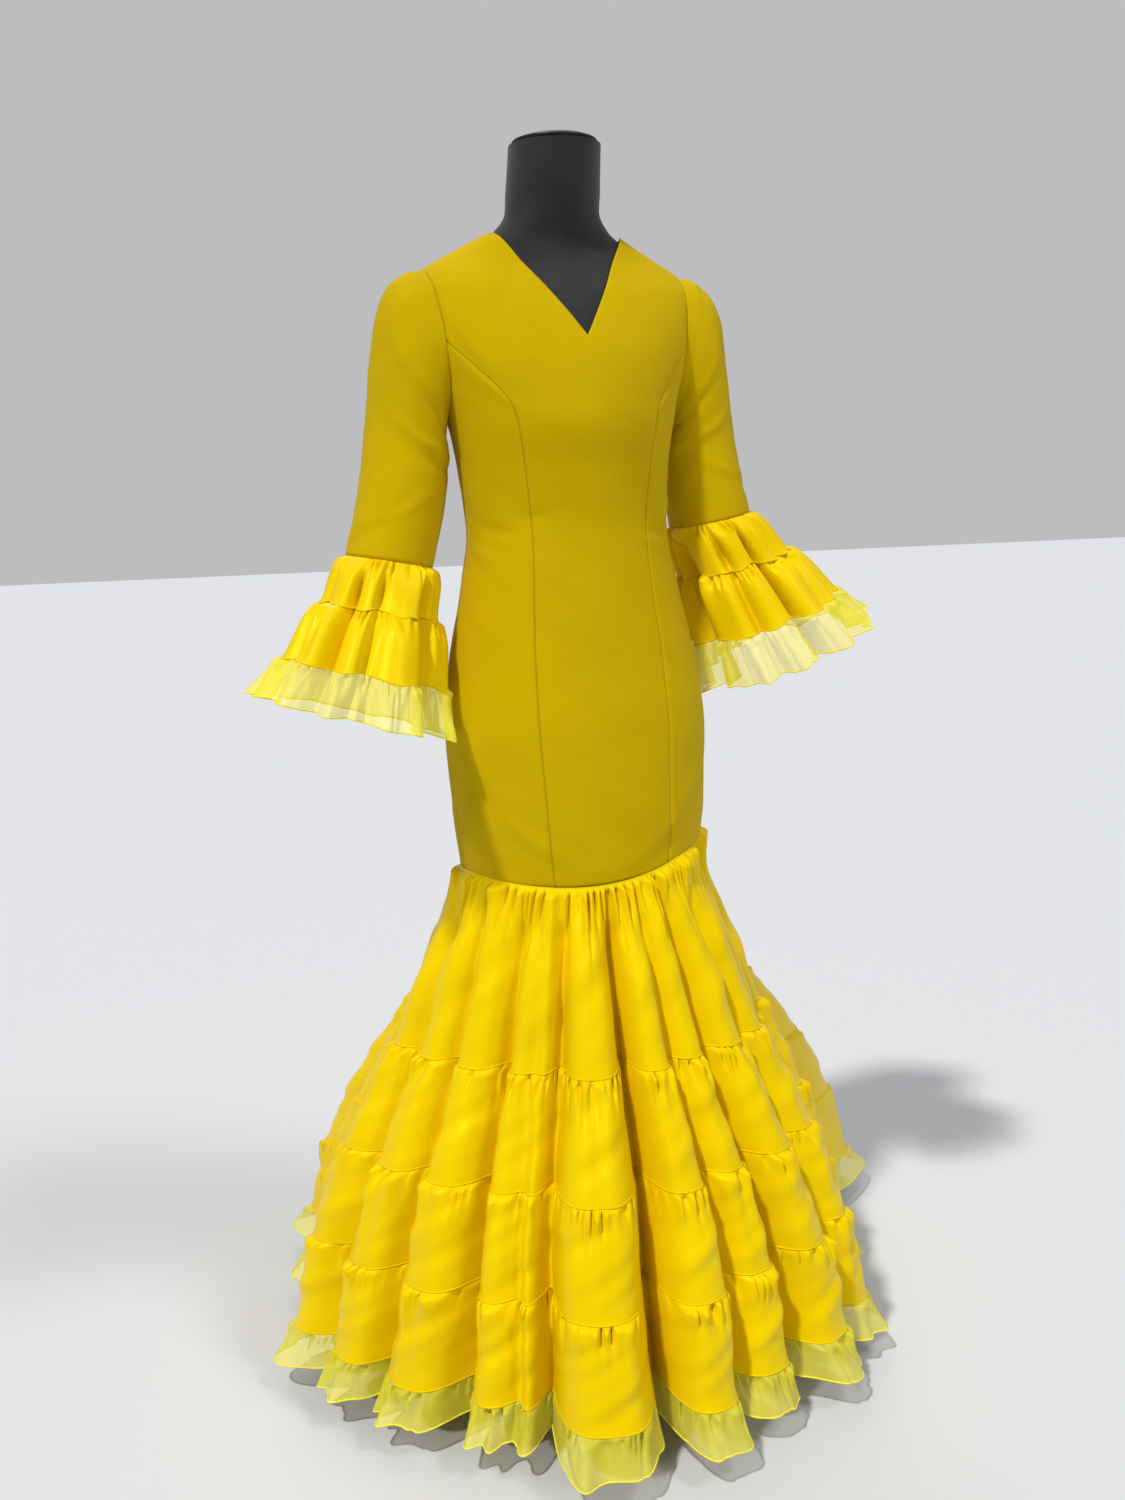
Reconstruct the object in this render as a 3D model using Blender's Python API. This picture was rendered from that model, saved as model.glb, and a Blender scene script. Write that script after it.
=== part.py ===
"""A flamenco dress on a limbless dress form: fitted panels, gathered skirt tiers and frilled sleeves.

The wearer faces -Y, the wearer's left is +X, and the floor is z = 0. Metres throughout.
Each cloth piece is a thin wall on a surface that is worked out from the tables below.
"""

import math
from collections import namedtuple

import bmesh
import bpy
from mathutils import Vector

SEAM_GAP = 0.0004
CREPE_WALL = 0.0018
SATIN_WALL = 0.0016
ORGANZA_WALL = 0.0012
NUDGE = 1e-4

# Fitted part, from the hip seam up: half width, depth in front and behind, and the section's middle.
Section = namedtuple("Section", "z half_width front back middle_y")
BODY = (
    Section(0.600, 0.157, 0.121, 0.120, 0.000),
    Section(0.640, 0.160, 0.120, 0.121, 0.000),
    Section(0.730, 0.169, 0.118, 0.126, 0.000),
    Section(0.830, 0.174, 0.113, 0.124, 0.002),
    Section(0.920, 0.164, 0.104, 0.111, 0.006),
    Section(1.000, 0.146, 0.096, 0.100, 0.010),
    Section(1.080, 0.133, 0.092, 0.092, 0.014),
    Section(1.150, 0.138, 0.102, 0.094, 0.020),
    Section(1.220, 0.150, 0.118, 0.094, 0.027),
    Section(1.280, 0.171, 0.113, 0.092, 0.033),
    Section(1.330, 0.189, 0.099, 0.087, 0.038),
    Section(1.370, 0.194, 0.082, 0.076, 0.042),
    Section(1.392, 0.179, 0.068, 0.066, 0.044),
    Section(1.410, 0.151, 0.058, 0.060, 0.045),
    Section(1.430, 0.113, 0.054, 0.058, 0.043),
    Section(1.450, 0.078, 0.056, 0.058, 0.040),
    Section(1.470, 0.062, 0.058, 0.058, 0.036),
    Section(1.500, 0.059, 0.059, 0.059, 0.030),
    Section(1.560, 0.057, 0.057, 0.057, 0.018),
)
PANEL_LEVELS = (0.70, 0.78, 0.86, 0.94, 1.01, 1.08, 1.15, 1.22, 1.27, 1.31)
YOKE_LEVELS = (1.335, 1.36, 1.38, 1.392, 1.403, 1.415, 1.428, 1.441)
HIP_SEAM_Z = 0.640
HIP_SEAM_SIDE_RISE = 0.026
HIP_SEAM_TILT = 0.015
HIP_SEAM_GAP = 0.0016
PRINCESS_TOP_Z = 1.31
NECK_TOP_Z = 1.441
NECK_HALF_WIDTH = 0.084
FRONT_COLUMNS = 5
SIDE_COLUMNS = 4
BACK_COLUMNS = 6

# Princess seams: how far round from the centre front, and from the centre back, in degrees.
Seam = namedtuple("Seam", "z front back")
PRINCESS = (
    Seam(0.640, 29.0, 31.0),
    Seam(0.830, 30.0, 32.0),
    Seam(1.080, 35.0, 35.0),
    Seam(1.220, 39.0, 40.0),
    Seam(1.310, 63.0, 63.0),
)

# The armhole lies in the plane through its underarm point and its shoulder point.
UNDERARM = (0.1500, 1.220)
SHOULDER_POINT = (0.1720, 1.396)
SLEEVE_RING_GAP = 0.0016

# Sleeve rings from the armhole to the cuff: top and underarm points, half depth and middle.
Ring = namedtuple("Ring", "top_x top_z under_x under_z half_depth middle_y")
SLEEVE = {
    "r": (
        Ring(0.192, 1.394, 0.1530, 1.208, 0.054, 0.040),
        Ring(0.215, 1.377, 0.1520, 1.196, 0.056, 0.042),
        Ring(0.230, 1.343, 0.1500, 1.182, 0.056, 0.043),
        Ring(0.239, 1.290, 0.1490, 1.165, 0.055, 0.045),
        Ring(0.248, 1.225, 0.1500, 1.145, 0.054, 0.046),
        Ring(0.261, 1.145, 0.1590, 1.105, 0.054, 0.041),
        Ring(0.2850, 1.0560, 0.1780, 1.0360, 0.0545, 0.036),
    ),
    "l": (
        Ring(0.192, 1.394, 0.1530, 1.208, 0.054, 0.040),
        Ring(0.215, 1.377, 0.1520, 1.197, 0.056, 0.041),
        Ring(0.230, 1.345, 0.1500, 1.184, 0.056, 0.042),
        Ring(0.238, 1.295, 0.1490, 1.170, 0.055, 0.043),
        Ring(0.245, 1.235, 0.1500, 1.155, 0.054, 0.044),
        Ring(0.254, 1.165, 0.1550, 1.125, 0.054, 0.040),
        Ring(0.2680, 1.0950, 0.1610, 1.0750, 0.0545, 0.036),
    ),
}
SLEEVE_COLUMNS = 14
SIDE_SIGN = {"r": -1.0, "l": 1.0}

# Cuff tiers from the cuff seam to the rim: share of the way, radius and wave height.
Flare = namedtuple("Flare", "share radius wave")
CUFF = (
    Flare(0.00, 0.0545, 0.0010),
    Flare(0.10, 0.0640, 0.0025),
    Flare(0.33, 0.0735, 0.0040),
    Flare(0.43, 0.0850, 0.0050),
    Flare(0.73, 0.1020, 0.0065),
    Flare(1.00, 0.1235, 0.0095),
)
CUFF_PIECES = (("cuff_tier1", 0.00, 0.33), ("cuff_tier2", 0.33, 0.73), ("cuff_ruffle", 0.73, 1.00))
CUFF_SEAM_GAP = 0.002

# Middle of each rim, and how far its outer edge tips up.
Rim = namedtuple("Rim", "x y z tip_degrees")
CUFF_RIM = {"r": Rim(0.300, -0.020, 0.865, 16.0), "l": Rim(0.300, -0.005, 0.908, 22.0)}
CUFF_WAVES = 9
CUFF_COLUMNS = 24

# Skirt: how far each level has spread from the hip seam's ellipse to the hem's outline.
Spread = namedtuple("Spread", "z share")
SKIRT_SPREAD = (
    Spread(0.690, 0.00),
    Spread(0.640, 0.02),
    Spread(0.600, 0.09),
    Spread(0.535, 0.22),
    Spread(0.435, 0.375),
    Spread(0.310, 0.63),
    Spread(0.195, 0.80),
    Spread(0.080, 0.91),
    Spread(0.038, 1.00),
)
SKIRT_PIECES = (
    ("skirt_tier1", 0.640, 0.435, 3),
    ("skirt_tier2", 0.435, 0.310, 1),
    ("skirt_tier3", 0.310, 0.195, 1),
    ("skirt_tier4", 0.195, 0.080, 1),
    ("hem_ruffle", 0.080, 0.038, 1),
)
TIER_PUFF = 0.004

# Skirt folds: each valley's angle from the centre front towards the wearer's left, its depth at
# the hem, its half width and lean in degrees, how fast it deepens, and how far the flute after
# it reaches at the hem.
Fold = namedtuple("Fold", "angle depth width lean growth reach")
FOLDS = (
    Fold(-84.0, 0.050, 3.6, 0.6, 0.80, 0.410),
    Fold(-68.0, 0.060, 3.6, -1.0, 0.70, 0.395),
    Fold(-51.0, 0.075, 3.8, 1.0, 0.60, 0.385),
    Fold(-39.0, 0.040, 2.9, 0.5, 1.30, 0.400),
    Fold(-31.0, 0.080, 3.6, -1.2, 0.60, 0.427),
    Fold(-9.0, 0.125, 4.3, 1.4, 0.60, 0.408),
    Fold(9.0, 0.064, 3.6, -1.0, 0.70, 0.375),
    Fold(25.0, 0.084, 3.8, 0.8, 0.60, 0.390),
    Fold(43.0, 0.060, 3.6, -0.9, 0.75, 0.394),
    Fold(59.0, 0.056, 3.4, 0.7, 0.80, 0.362),
    Fold(73.0, 0.056, 3.6, -0.6, 0.80, 0.392),
    Fold(88.0, 0.070, 3.8, 1.0, 0.70, 0.415),
    Fold(103.0, 0.100, 4.3, -1.2, 0.70, 0.600),
    Fold(119.0, 0.090, 3.8, 0.9, 0.70, 0.560),
    Fold(135.0, 0.075, 3.6, -0.7, 0.70, 0.520),
    Fold(151.0, 0.085, 4.1, 1.1, 0.65, 0.516),
    Fold(166.0, 0.070, 3.6, -0.8, 0.75, 0.498),
    Fold(181.0, 0.090, 4.1, 1.2, 0.60, 0.506),
    Fold(199.0, 0.075, 3.6, -0.9, 0.70, 0.500),
    Fold(214.0, 0.080, 3.8, 0.8, 0.65, 0.505),
    Fold(229.0, 0.065, 3.6, -1.0, 0.75, 0.430),
    Fold(245.0, 0.060, 3.6, 0.9, 0.70, 0.386),
    Fold(261.0, 0.052, 3.4, -0.6, 0.80, 0.436),
)
FOLD_EDGE = 1.3
MOST_EDGE = 0.8
WIDE_FLUTE = 14.0
PINCH = 0.45
PINCH_WIDTH = 1.6
FOLD_START = 0.05

ZIP_BOTTOM_Z = 0.86
ZIP_TOP_Z = 1.415
ZIP_HALF_WIDTH = 0.006
ZIP_DEPTH = 0.0024
ZIP_WALL = 0.0010
SLIDER_SIZE = (0.005, 0.0011, 0.009)
SLIDER_DEPTH = 0.0036

FORM_INSET = 0.0065
NECK_FADE_TOP_Z = 1.490
FORM_BOTTOM_Z = 0.665
FORM_ARM_INSET = 0.010
NECK_LEVELS = (1.455, 1.470, 1.49, 1.52, 1.548)
FORM_COLUMNS = 36
CAP_RADIUS = 0.053
CAP_HEIGHT = 0.008
POLE_RADIUS = 0.0125
POLE_SIDES = 24
BASE_RADIUS = 0.170
BASE_EDGE_HEIGHT = 0.008
BASE_CROWN_HEIGHT = 0.014
SOCKET_RADIUS = 0.024
SOCKET_TOP_Z = 0.060
TURN_STEPS = 48

# Slot: base colour, roughness and metallic value.
MATERIALS = {
    "crepe": ((0.72, 0.50, 0.002), 0.70, 0.0),
    "satin": ((0.90, 0.66, 0.002), 0.42, 0.0),
    "organza": ((0.88, 0.80, 0.12), 0.50, 0.0),
    "zip": ((0.70, 0.48, 0.01), 0.55, 0.0),
    "form_cover": ((0.008, 0.008, 0.009), 0.80, 0.0),
    "form_metal": ((0.02, 0.02, 0.022), 0.35, 1.0),
}


def clear_scene():
    for found in list(bpy.data.objects):
        bpy.data.objects.remove(found, do_unlink=True)


def material(slot):
    if slot in bpy.data.materials:
        return bpy.data.materials[slot]
    made = bpy.data.materials.new(slot)
    made.use_nodes = True
    colour, roughness, metallic = MATERIALS[slot]
    shader = made.node_tree.nodes["Principled BSDF"]
    shader.inputs["Base Color"].default_value = (*colour, 1.0)
    shader.inputs["Roughness"].default_value = roughness
    shader.inputs["Metallic"].default_value = metallic
    return made


def add_object(name, mesh_data, slot):
    """Puts a finished bmesh into the scene as one smooth-shaded node."""
    mesh = bpy.data.meshes.new(name)
    mesh_data.to_mesh(mesh)
    mesh_data.free()
    mesh.shade_smooth()
    mesh.set_sharp_from_angle(angle=math.radians(50.0))
    mesh.materials.append(material(slot))
    made = bpy.data.objects.new(name, mesh)
    bpy.context.scene.collection.objects.link(made)
    return made


def mix(low, high, share):
    return low + (high - low) * share


def along(table, column, at):
    """A smooth value between a table's rows, which never overshoots a row (monotone cubic)."""
    places = [row[0] for row in table]
    values = [getattr(row, column) for row in table]
    if places[0] > places[-1]:
        places.reverse()
        values.reverse()
    at = min(max(at, places[0]), places[-1])
    slot = max(index for index in range(len(places) - 1) if places[index] <= at)
    spans = [places[i + 1] - places[i] for i in range(len(places) - 1)]
    slopes = [(values[i + 1] - values[i]) / spans[i] for i in range(len(spans))]

    def tangent(index):
        before = slopes[max(index - 1, 0)]
        after = slopes[min(index, len(slopes) - 1)]
        return 0.0 if before * after <= 0.0 else 2.0 * before * after / (before + after)

    share = (at - places[slot]) / spans[slot]
    rest = 1.0 - share
    return (
        values[slot] * (1.0 + 2.0 * share) * rest * rest
        + values[slot + 1] * (1.0 + 2.0 * rest) * share * share
        + spans[slot] * tangent(slot) * share * rest * rest
        - spans[slot] * tangent(slot + 1) * share * share * rest
    )


def with_normal(surface):
    """Turns surface(u, v) into a function that gives the point and the outward normal there."""

    def point_and_normal(u, v):
        point = surface(u, v)
        across = surface(u + NUDGE, v) - surface(u - NUDGE, v)
        upward = surface(u, v + NUDGE) - surface(u, v - NUDGE)
        return point, across.cross(upward).normalized()

    return point_and_normal


def level_normal(surface):
    """As with_normal, but the normal is level, so that tiers stay clear of each other at a seam."""

    def point_and_normal(u, v):
        across = surface(u + NUDGE, v) - surface(u - NUDGE, v)
        return surface(u, v), Vector((across.y, -across.x, 0.0)).normalized()

    return point_and_normal


def ring_normal(tube):
    """For tube(turn, place): the outward normal in the plane of the tube's own ring."""

    def point_and_normal(turn, place):
        point = tube(turn, place)
        quarters = [tube(math.pi * quarter / 2.0, place) for quarter in range(4)]
        plane = (quarters[0] - quarters[2]).cross(quarters[1] - quarters[3])
        across = tube(turn + NUDGE, place) - tube(turn - NUDGE, place)
        normal = across.cross(plane).normalized()
        outward = point - (quarters[0] + quarters[2]) / 2.0
        return point, normal if normal.dot(outward) > 0.0 else -normal

    return point_and_normal


def grid_cells(rows, closed=False):
    """Quads between rows of (u, v) places, which run left to right and bottom to top."""
    cells = []
    for low, high in zip(rows, rows[1:]):
        count = len(low)
        for left in range(count if closed else count - 1):
            right = (left + 1) % count
            cells.append((low[left], low[right], high[right], high[left]))
    return cells


def cloth_wall(name, cells, place, thickness, slot):
    """One closed wall: both faces of the cloth and the rims along its free edges."""
    corners = [place(*key) for key in cells[0][:3]]
    turned_out = (corners[1][0] - corners[0][0]).cross(corners[2][0] - corners[1][0])
    if turned_out.dot(corners[0][1]) < 0.0:
        cells = [tuple(reversed(cell)) for cell in cells]
    sheet = bmesh.new()
    pairs = {}
    for key in dict.fromkeys(key for cell in cells for key in cell):
        point, normal = place(*key)
        pairs[key] = [sheet.verts.new(point + normal * side * thickness / 2.0) for side in (1.0, -1.0)]
    edges = set()
    for cell in cells:
        corners = list(dict.fromkeys(cell))
        sheet.faces.new([pairs[key][0] for key in corners])
        sheet.faces.new([pairs[key][1] for key in reversed(corners)])
        edges.update(zip(corners, corners[1:] + corners[:1]))
    for start, end in sorted(edges):
        if (end, start) not in edges:
            sheet.faces.new([pairs[end][0], pairs[start][0], pairs[start][1], pairs[end][1]])
    return add_object(name, sheet, slot)


# --- Fitted part ---------------------------------------------------------------------------


def body_point(degrees, z):
    """Point of the fitted surface: degrees run from the centre front towards the wearer's left."""
    turn = math.radians(degrees)
    depth = along(BODY, "front" if math.cos(turn) > 0.0 else "back", z)
    half_width = along(BODY, "half_width", z)
    middle = along(BODY, "middle_y", z)
    return Vector((half_width * math.sin(turn), middle - depth * math.cos(turn), z))


def armhole_x(z):
    share = (z - UNDERARM[1]) / (SHOULDER_POINT[1] - UNDERARM[1])
    return mix(UNDERARM[0], SHOULDER_POINT[0], share)


def armhole_degrees(z):
    """Where the armhole's plane cuts the fitted surface: 90 is the side seam or shoulder seam."""
    if z <= UNDERARM[1]:
        return 90.0
    return math.degrees(math.asin(min(1.0, armhole_x(z) / along(BODY, "half_width", z))))


def gap_degrees(z):
    return math.degrees(SEAM_GAP / along(BODY, "front", z))


def neck_degrees(z):
    """The V neck's edge: straight lines in front view from its point to the shoulder seam."""
    if z <= PRINCESS_TOP_Z:
        return 0.0
    reach = NECK_HALF_WIDTH * (z - PRINCESS_TOP_Z) / (NECK_TOP_Z - PRINCESS_TOP_Z)
    return math.degrees(math.asin(min(1.0, reach / along(BODY, "half_width", z))))


def hip_seam_z(degrees):
    """The hip seam rises over the sides, and a little more on the wearer's left."""
    side = math.sin(math.radians(degrees))
    return HIP_SEAM_Z + HIP_SEAM_SIDE_RISE * side * side + HIP_SEAM_TILT * side


def panel_rows(inner, outer, levels, columns, mirror):
    """Rows of places between two seams. The first row lies on the hip seam."""
    rows = []
    for z in levels:
        ends = (inner(max(z, HIP_SEAM_Z)), outer(max(z, HIP_SEAM_Z)))
        turns = [mix(*ends, step / columns) for step in range(columns + 1)]
        if mirror < 0.0:
            turns = [-turn for turn in reversed(turns)]
        if z == HIP_SEAM_Z:
            rows.append([(turn, hip_seam_z(turn) + SEAM_GAP) for turn in turns])
        else:
            rows.append([(turn, z) for turn in turns])
    return rows


def front_princess(z):
    return min(along(PRINCESS, "front", z), armhole_degrees(z)) if z < PRINCESS_TOP_Z else armhole_degrees(z)


def back_princess(z):
    return min(along(PRINCESS, "back", z), armhole_degrees(z)) if z < PRINCESS_TOP_Z else armhole_degrees(z)


def make_fitted_panels():
    place = with_normal(body_point)
    lower = (HIP_SEAM_Z, *PANEL_LEVELS)
    whole = (*lower, *YOKE_LEVELS)
    below_armhole = lower[:-1] + (PRINCESS_TOP_Z - 0.012,)
    front_cells = []
    for mirror in (1.0, -1.0):
        front_cells += grid_cells(
            panel_rows(neck_degrees, lambda z: front_princess(z) - gap_degrees(z), whole, FRONT_COLUMNS, mirror)
        )
    cloth_wall("centre_front", front_cells, place, CREPE_WALL, "crepe")
    for side, mirror in (("l", 1.0), ("r", -1.0)):
        pieces = {
            "side_front": (
                lambda z: front_princess(z) + gap_degrees(z),
                lambda z: armhole_degrees(z) - gap_degrees(z),
                below_armhole,
                SIDE_COLUMNS,
            ),
            "side_back": (
                lambda z: 180.0 - armhole_degrees(z) + gap_degrees(z),
                lambda z: 180.0 - back_princess(z) - gap_degrees(z),
                below_armhole,
                SIDE_COLUMNS,
            ),
            "back": (
                lambda z: 180.0 - back_princess(z) + gap_degrees(z),
                lambda z: 180.0 - gap_degrees(z),
                whole,
                BACK_COLUMNS,
            ),
        }
        for name, (inner, outer, levels, columns) in pieces.items():
            cells = grid_cells(panel_rows(inner, outer, levels, columns, mirror))
            cloth_wall(f"{name}_{side}", cells, place, CREPE_WALL, "crepe")


def make_zip():
    """A concealed zip behind the centre back seam, closed, with its slider tucked in at the top."""
    point_and_normal = with_normal(body_point)

    def place(degrees, z):
        point, normal = point_and_normal(degrees, z)
        return point - normal * ZIP_DEPTH, normal

    rows = []
    for z in (level for level in PANEL_LEVELS + YOKE_LEVELS if ZIP_BOTTOM_Z <= level <= ZIP_TOP_Z):
        half = math.degrees(ZIP_HALF_WIDTH / along(BODY, "half_width", z))
        rows.append([(180.0 - half, z), (180.0, z), (180.0 + half, z)])
    cloth_wall("back_zip", grid_cells(rows), place, ZIP_WALL, "zip")

    slider = bmesh.new()
    bmesh.ops.create_cube(slider, size=1.0)
    bmesh.ops.scale(slider, vec=SLIDER_SIZE, verts=slider.verts)
    point, normal = point_and_normal(180.0, ZIP_TOP_Z - SLIDER_SIZE[2])
    tilt = normal.to_track_quat("Y", "Z").to_matrix()
    bmesh.ops.rotate(slider, matrix=tilt, verts=slider.verts)
    bmesh.ops.translate(slider, vec=point - normal * SLIDER_DEPTH, verts=slider.verts)
    add_object("zip_slider", slider, "zip")


# --- Sleeves and their frills --------------------------------------------------------------


def armhole_point(turn, side):
    """Point of the sleeve's first ring, just outside the armhole: turn 0 is at the shoulder."""
    middle_z = (UNDERARM[1] + SHOULDER_POINT[1]) / 2.0
    z = middle_z + (SHOULDER_POINT[1] - UNDERARM[1]) / 2.0 * math.cos(turn)
    opening = math.cos(math.radians(armhole_degrees(z)))
    column, sign = ("front", -1.0) if math.sin(turn) < 0.0 else ("back", 1.0)
    y = along(BODY, "middle_y", z) + sign * along(BODY, column, z) * opening
    return Vector((SIDE_SIGN[side] * (armhole_x(z) + SLEEVE_RING_GAP), y, z))


def ring_point(ring, turn, side):
    top = Vector((ring.top_x, ring.middle_y, ring.top_z))
    under = Vector((ring.under_x, ring.middle_y, ring.under_z))
    point = (top + under) / 2.0 + (top - under) / 2.0 * math.cos(turn)
    point.y += ring.half_depth * math.sin(turn)
    point.x *= SIDE_SIGN[side]
    return point


def sleeve_point(turn, row, side):
    """Row 0 is the armhole, and the last row is the cuff seam; between rows it runs straight."""
    rings = SLEEVE[side]
    low = min(max(int(row), 0), len(rings) - 1)
    ends = []
    for index in (low, low + 1):
        ends.append(armhole_point(turn, side) if index == 0 else ring_point(rings[index - 1], turn, side))
    return ends[0].lerp(ends[1], row - low)


def cuff_point(turn, share, side):
    """Point of the cuff's flare: share 0 is the cuff seam, and share 1 is the rim."""
    ring = SLEEVE[side][-1]
    rim = CUFF_RIM[side]
    sign = SIDE_SIGN[side]
    start = Vector((sign * (ring.top_x + ring.under_x) / 2.0, ring.middle_y, (ring.top_z + ring.under_z) / 2.0))
    end = Vector((sign * rim.x, rim.y, rim.z))
    start_tip = math.atan2(ring.top_z - ring.under_z, ring.top_x - ring.under_x)
    tip = mix(start_tip, math.radians(rim.tip_degrees), share)
    outward = Vector((sign * math.cos(tip), 0.0, math.sin(tip)))
    backward = Vector((0.0, 1.0, 0.0))
    radius = along(CUFF, "radius", share) + along(CUFF, "wave", share) * math.cos(CUFF_WAVES * turn + sign)
    return start.lerp(end, share) + (outward * math.cos(turn) + backward * math.sin(turn)) * radius


def ring_rows(columns, places):
    turns = [2.0 * math.pi * step / columns for step in range(columns)]
    return [[(turn, place) for turn in turns] for place in places]


def make_sleeve(side):
    def sleeve(turn, row):
        return sleeve_point(turn, row, side)

    def cuff(turn, share):
        return cuff_point(turn, share, side)

    cells = grid_cells(ring_rows(SLEEVE_COLUMNS, range(len(SLEEVE[side]) + 1)), closed=True)
    cloth_wall(f"sleeve_{side}", cells, ring_normal(sleeve), CREPE_WALL, "crepe")
    for name, start, end in CUFF_PIECES:
        shares = (start + CUFF_SEAM_GAP, (start + end) / 2.0, end - CUFF_SEAM_GAP)
        wall, slot = (ORGANZA_WALL, "organza") if name == "cuff_ruffle" else (SATIN_WALL, "satin")
        cells = grid_cells(ring_rows(CUFF_COLUMNS, shares), closed=True)
        cloth_wall(f"{name}_{side}", cells, ring_normal(cuff), wall, slot)


# --- Skirt ---------------------------------------------------------------------------------


def hip_start(degrees, z):
    """In this direction from the axis: the fitted part's radius, and the hip seam's height."""
    turn = math.radians(degrees)
    depth = along(BODY, "front" if math.cos(turn) > 0.0 else "back", z)
    across = math.sin(turn) / along(BODY, "half_width", z)
    ahead = math.cos(turn) / depth
    return 1.0 / math.hypot(across, ahead), hip_seam_z(math.degrees(math.atan2(across, ahead)))


def flute_middle(index):
    """Angle halfway between a fold's valley and the next one."""
    after = FOLDS[(index + 1) % len(FOLDS)].angle
    return FOLDS[index].angle + (after - FOLDS[index].angle) % 360.0 / 2.0


def flute_reach(degrees):
    """How far the flutes reach at the hem in one direction."""
    first = flute_middle(0)
    around = first + (degrees - first) % 360.0
    count = len(FOLDS)
    index = max(place for place in range(count) if flute_middle(place) <= around)
    after = (index + 1) % count
    span = (flute_middle(after) - flute_middle(index)) % 360.0
    share = (around - flute_middle(index)) / span
    return mix(FOLDS[index].reach, FOLDS[after].reach, share * share * (3.0 - 2.0 * share))


def skirt_point(degrees, z, top, bottom):
    """Point of the skirt between two seams. The cloth swells a little between them."""
    spread = along(SKIRT_SPREAD, "share", z)
    start, seam_z = hip_start(degrees, z)
    opened = min(max((seam_z - z) / FOLD_START, 0.0), 1.0)
    down = min(max((top - z) / (top - bottom), 0.0), 1.0)
    radius = mix(start, flute_reach(degrees), spread) + TIER_PUFF * math.sin(math.pi * down**0.6)
    shift = 0.0
    for fold in FOLDS:
        away = (degrees - fold.angle + 180.0) % 360.0 - 180.0
        grown = opened * spread**fold.growth
        pit = math.exp(-((away / fold.width) ** 2))
        radius -= fold.depth * grown * pit
        squeezed = PINCH * away * math.exp(-((away / (PINCH_WIDTH * fold.width)) ** 2))
        shift += (fold.lean * pit - squeezed) * grown
    turn = math.radians(degrees + shift)
    return Vector((radius * math.sin(turn), -radius * math.cos(turn), z))


def fold_angles():
    """Angles of the skirt's columns: each valley, its two edges, and the middle of a wide flute."""
    angles = []
    for index, fold in enumerate(FOLDS):
        before = (fold.angle - flute_middle(index - 1)) % 360.0
        after = flute_middle(index) - fold.angle
        left = min(FOLD_EDGE * fold.width, MOST_EDGE * before)
        right = min(FOLD_EDGE * fold.width, MOST_EDGE * after)
        angles += [fold.angle - left, fold.angle, fold.angle + right]
        if 2.0 * after > WIDE_FLUTE:
            angles.append(flute_middle(index))
    return angles


def chord_normal(place, angles):
    """Point with the level normal halfway between those of the two chords that meet there."""

    def placed(degrees, share):
        column = angles.index(degrees)
        before = place(angles[column - 1], share)
        point = place(degrees, share)
        after = place(angles[(column + 1) % len(angles)], share)
        chords = [Vector((end.x - start.x, end.y - start.y, 0.0)).normalized() for start, end in
                  ((before, point), (point, after))]
        return point, (chords[0] + chords[1]).cross(Vector((0.0, 0.0, 1.0))).normalized()

    return placed


def halves(cell):
    """The two triangles of a cell, so that both faces of a twisted wall share one diagonal."""
    return [(cell[0], cell[1], cell[2]), (cell[0], cell[2], cell[3])]


def make_skirt():
    for name, top, bottom, steps in SKIRT_PIECES:

        def tier_point(degrees, down, top=top, bottom=bottom):
            high = hip_start(degrees, top)[1] - HIP_SEAM_GAP if top == HIP_SEAM_Z else top - SEAM_GAP
            z = mix(high, bottom + SEAM_GAP, down)
            return skirt_point(degrees, z, high, bottom)

        shares = [1.0 - step / steps for step in range(steps + 1)]
        angles = fold_angles()
        rows = [[(degrees, share) for degrees in angles] for share in shares]
        wall, slot = (ORGANZA_WALL, "organza") if name == "hem_ruffle" else (SATIN_WALL, "satin")
        cells = [half for cell in grid_cells(rows, closed=True) for half in halves(cell)]
        cloth_wall(name, cells, chord_normal(tier_point, angles), wall, slot)


# --- Dress form ----------------------------------------------------------------------------


def form_point(degrees, z):
    """The fitted surface moved in by the form's inset, which fades out up the bare neck."""
    point, normal = with_normal(body_point)(degrees, z)
    fade = min(max((NECK_FADE_TOP_Z - z) / (NECK_FADE_TOP_Z - NECK_TOP_Z), 0.0), 1.0)
    point -= normal * FORM_INSET * fade
    if z > UNDERARM[1]:
        limit = armhole_x(z) - FORM_ARM_INSET
        point.x = min(max(point.x, -limit), limit)
    return point


def make_torso():
    torso = bmesh.new()
    rings = []
    for z in (FORM_BOTTOM_Z, *PANEL_LEVELS, *YOKE_LEVELS, *NECK_LEVELS):
        turns = [360.0 * step / FORM_COLUMNS for step in range(FORM_COLUMNS)]
        rings.append([torso.verts.new(form_point(turn, z)) for turn in turns])
    for low, high in zip(rings, rings[1:]):
        for left in range(FORM_COLUMNS):
            right = (left + 1) % FORM_COLUMNS
            torso.faces.new([low[left], low[right], high[right], high[left]])
    torso.faces.new(list(reversed(rings[0])))
    torso.faces.new(rings[-1])
    add_object("form_torso", torso, "form_cover")


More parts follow.
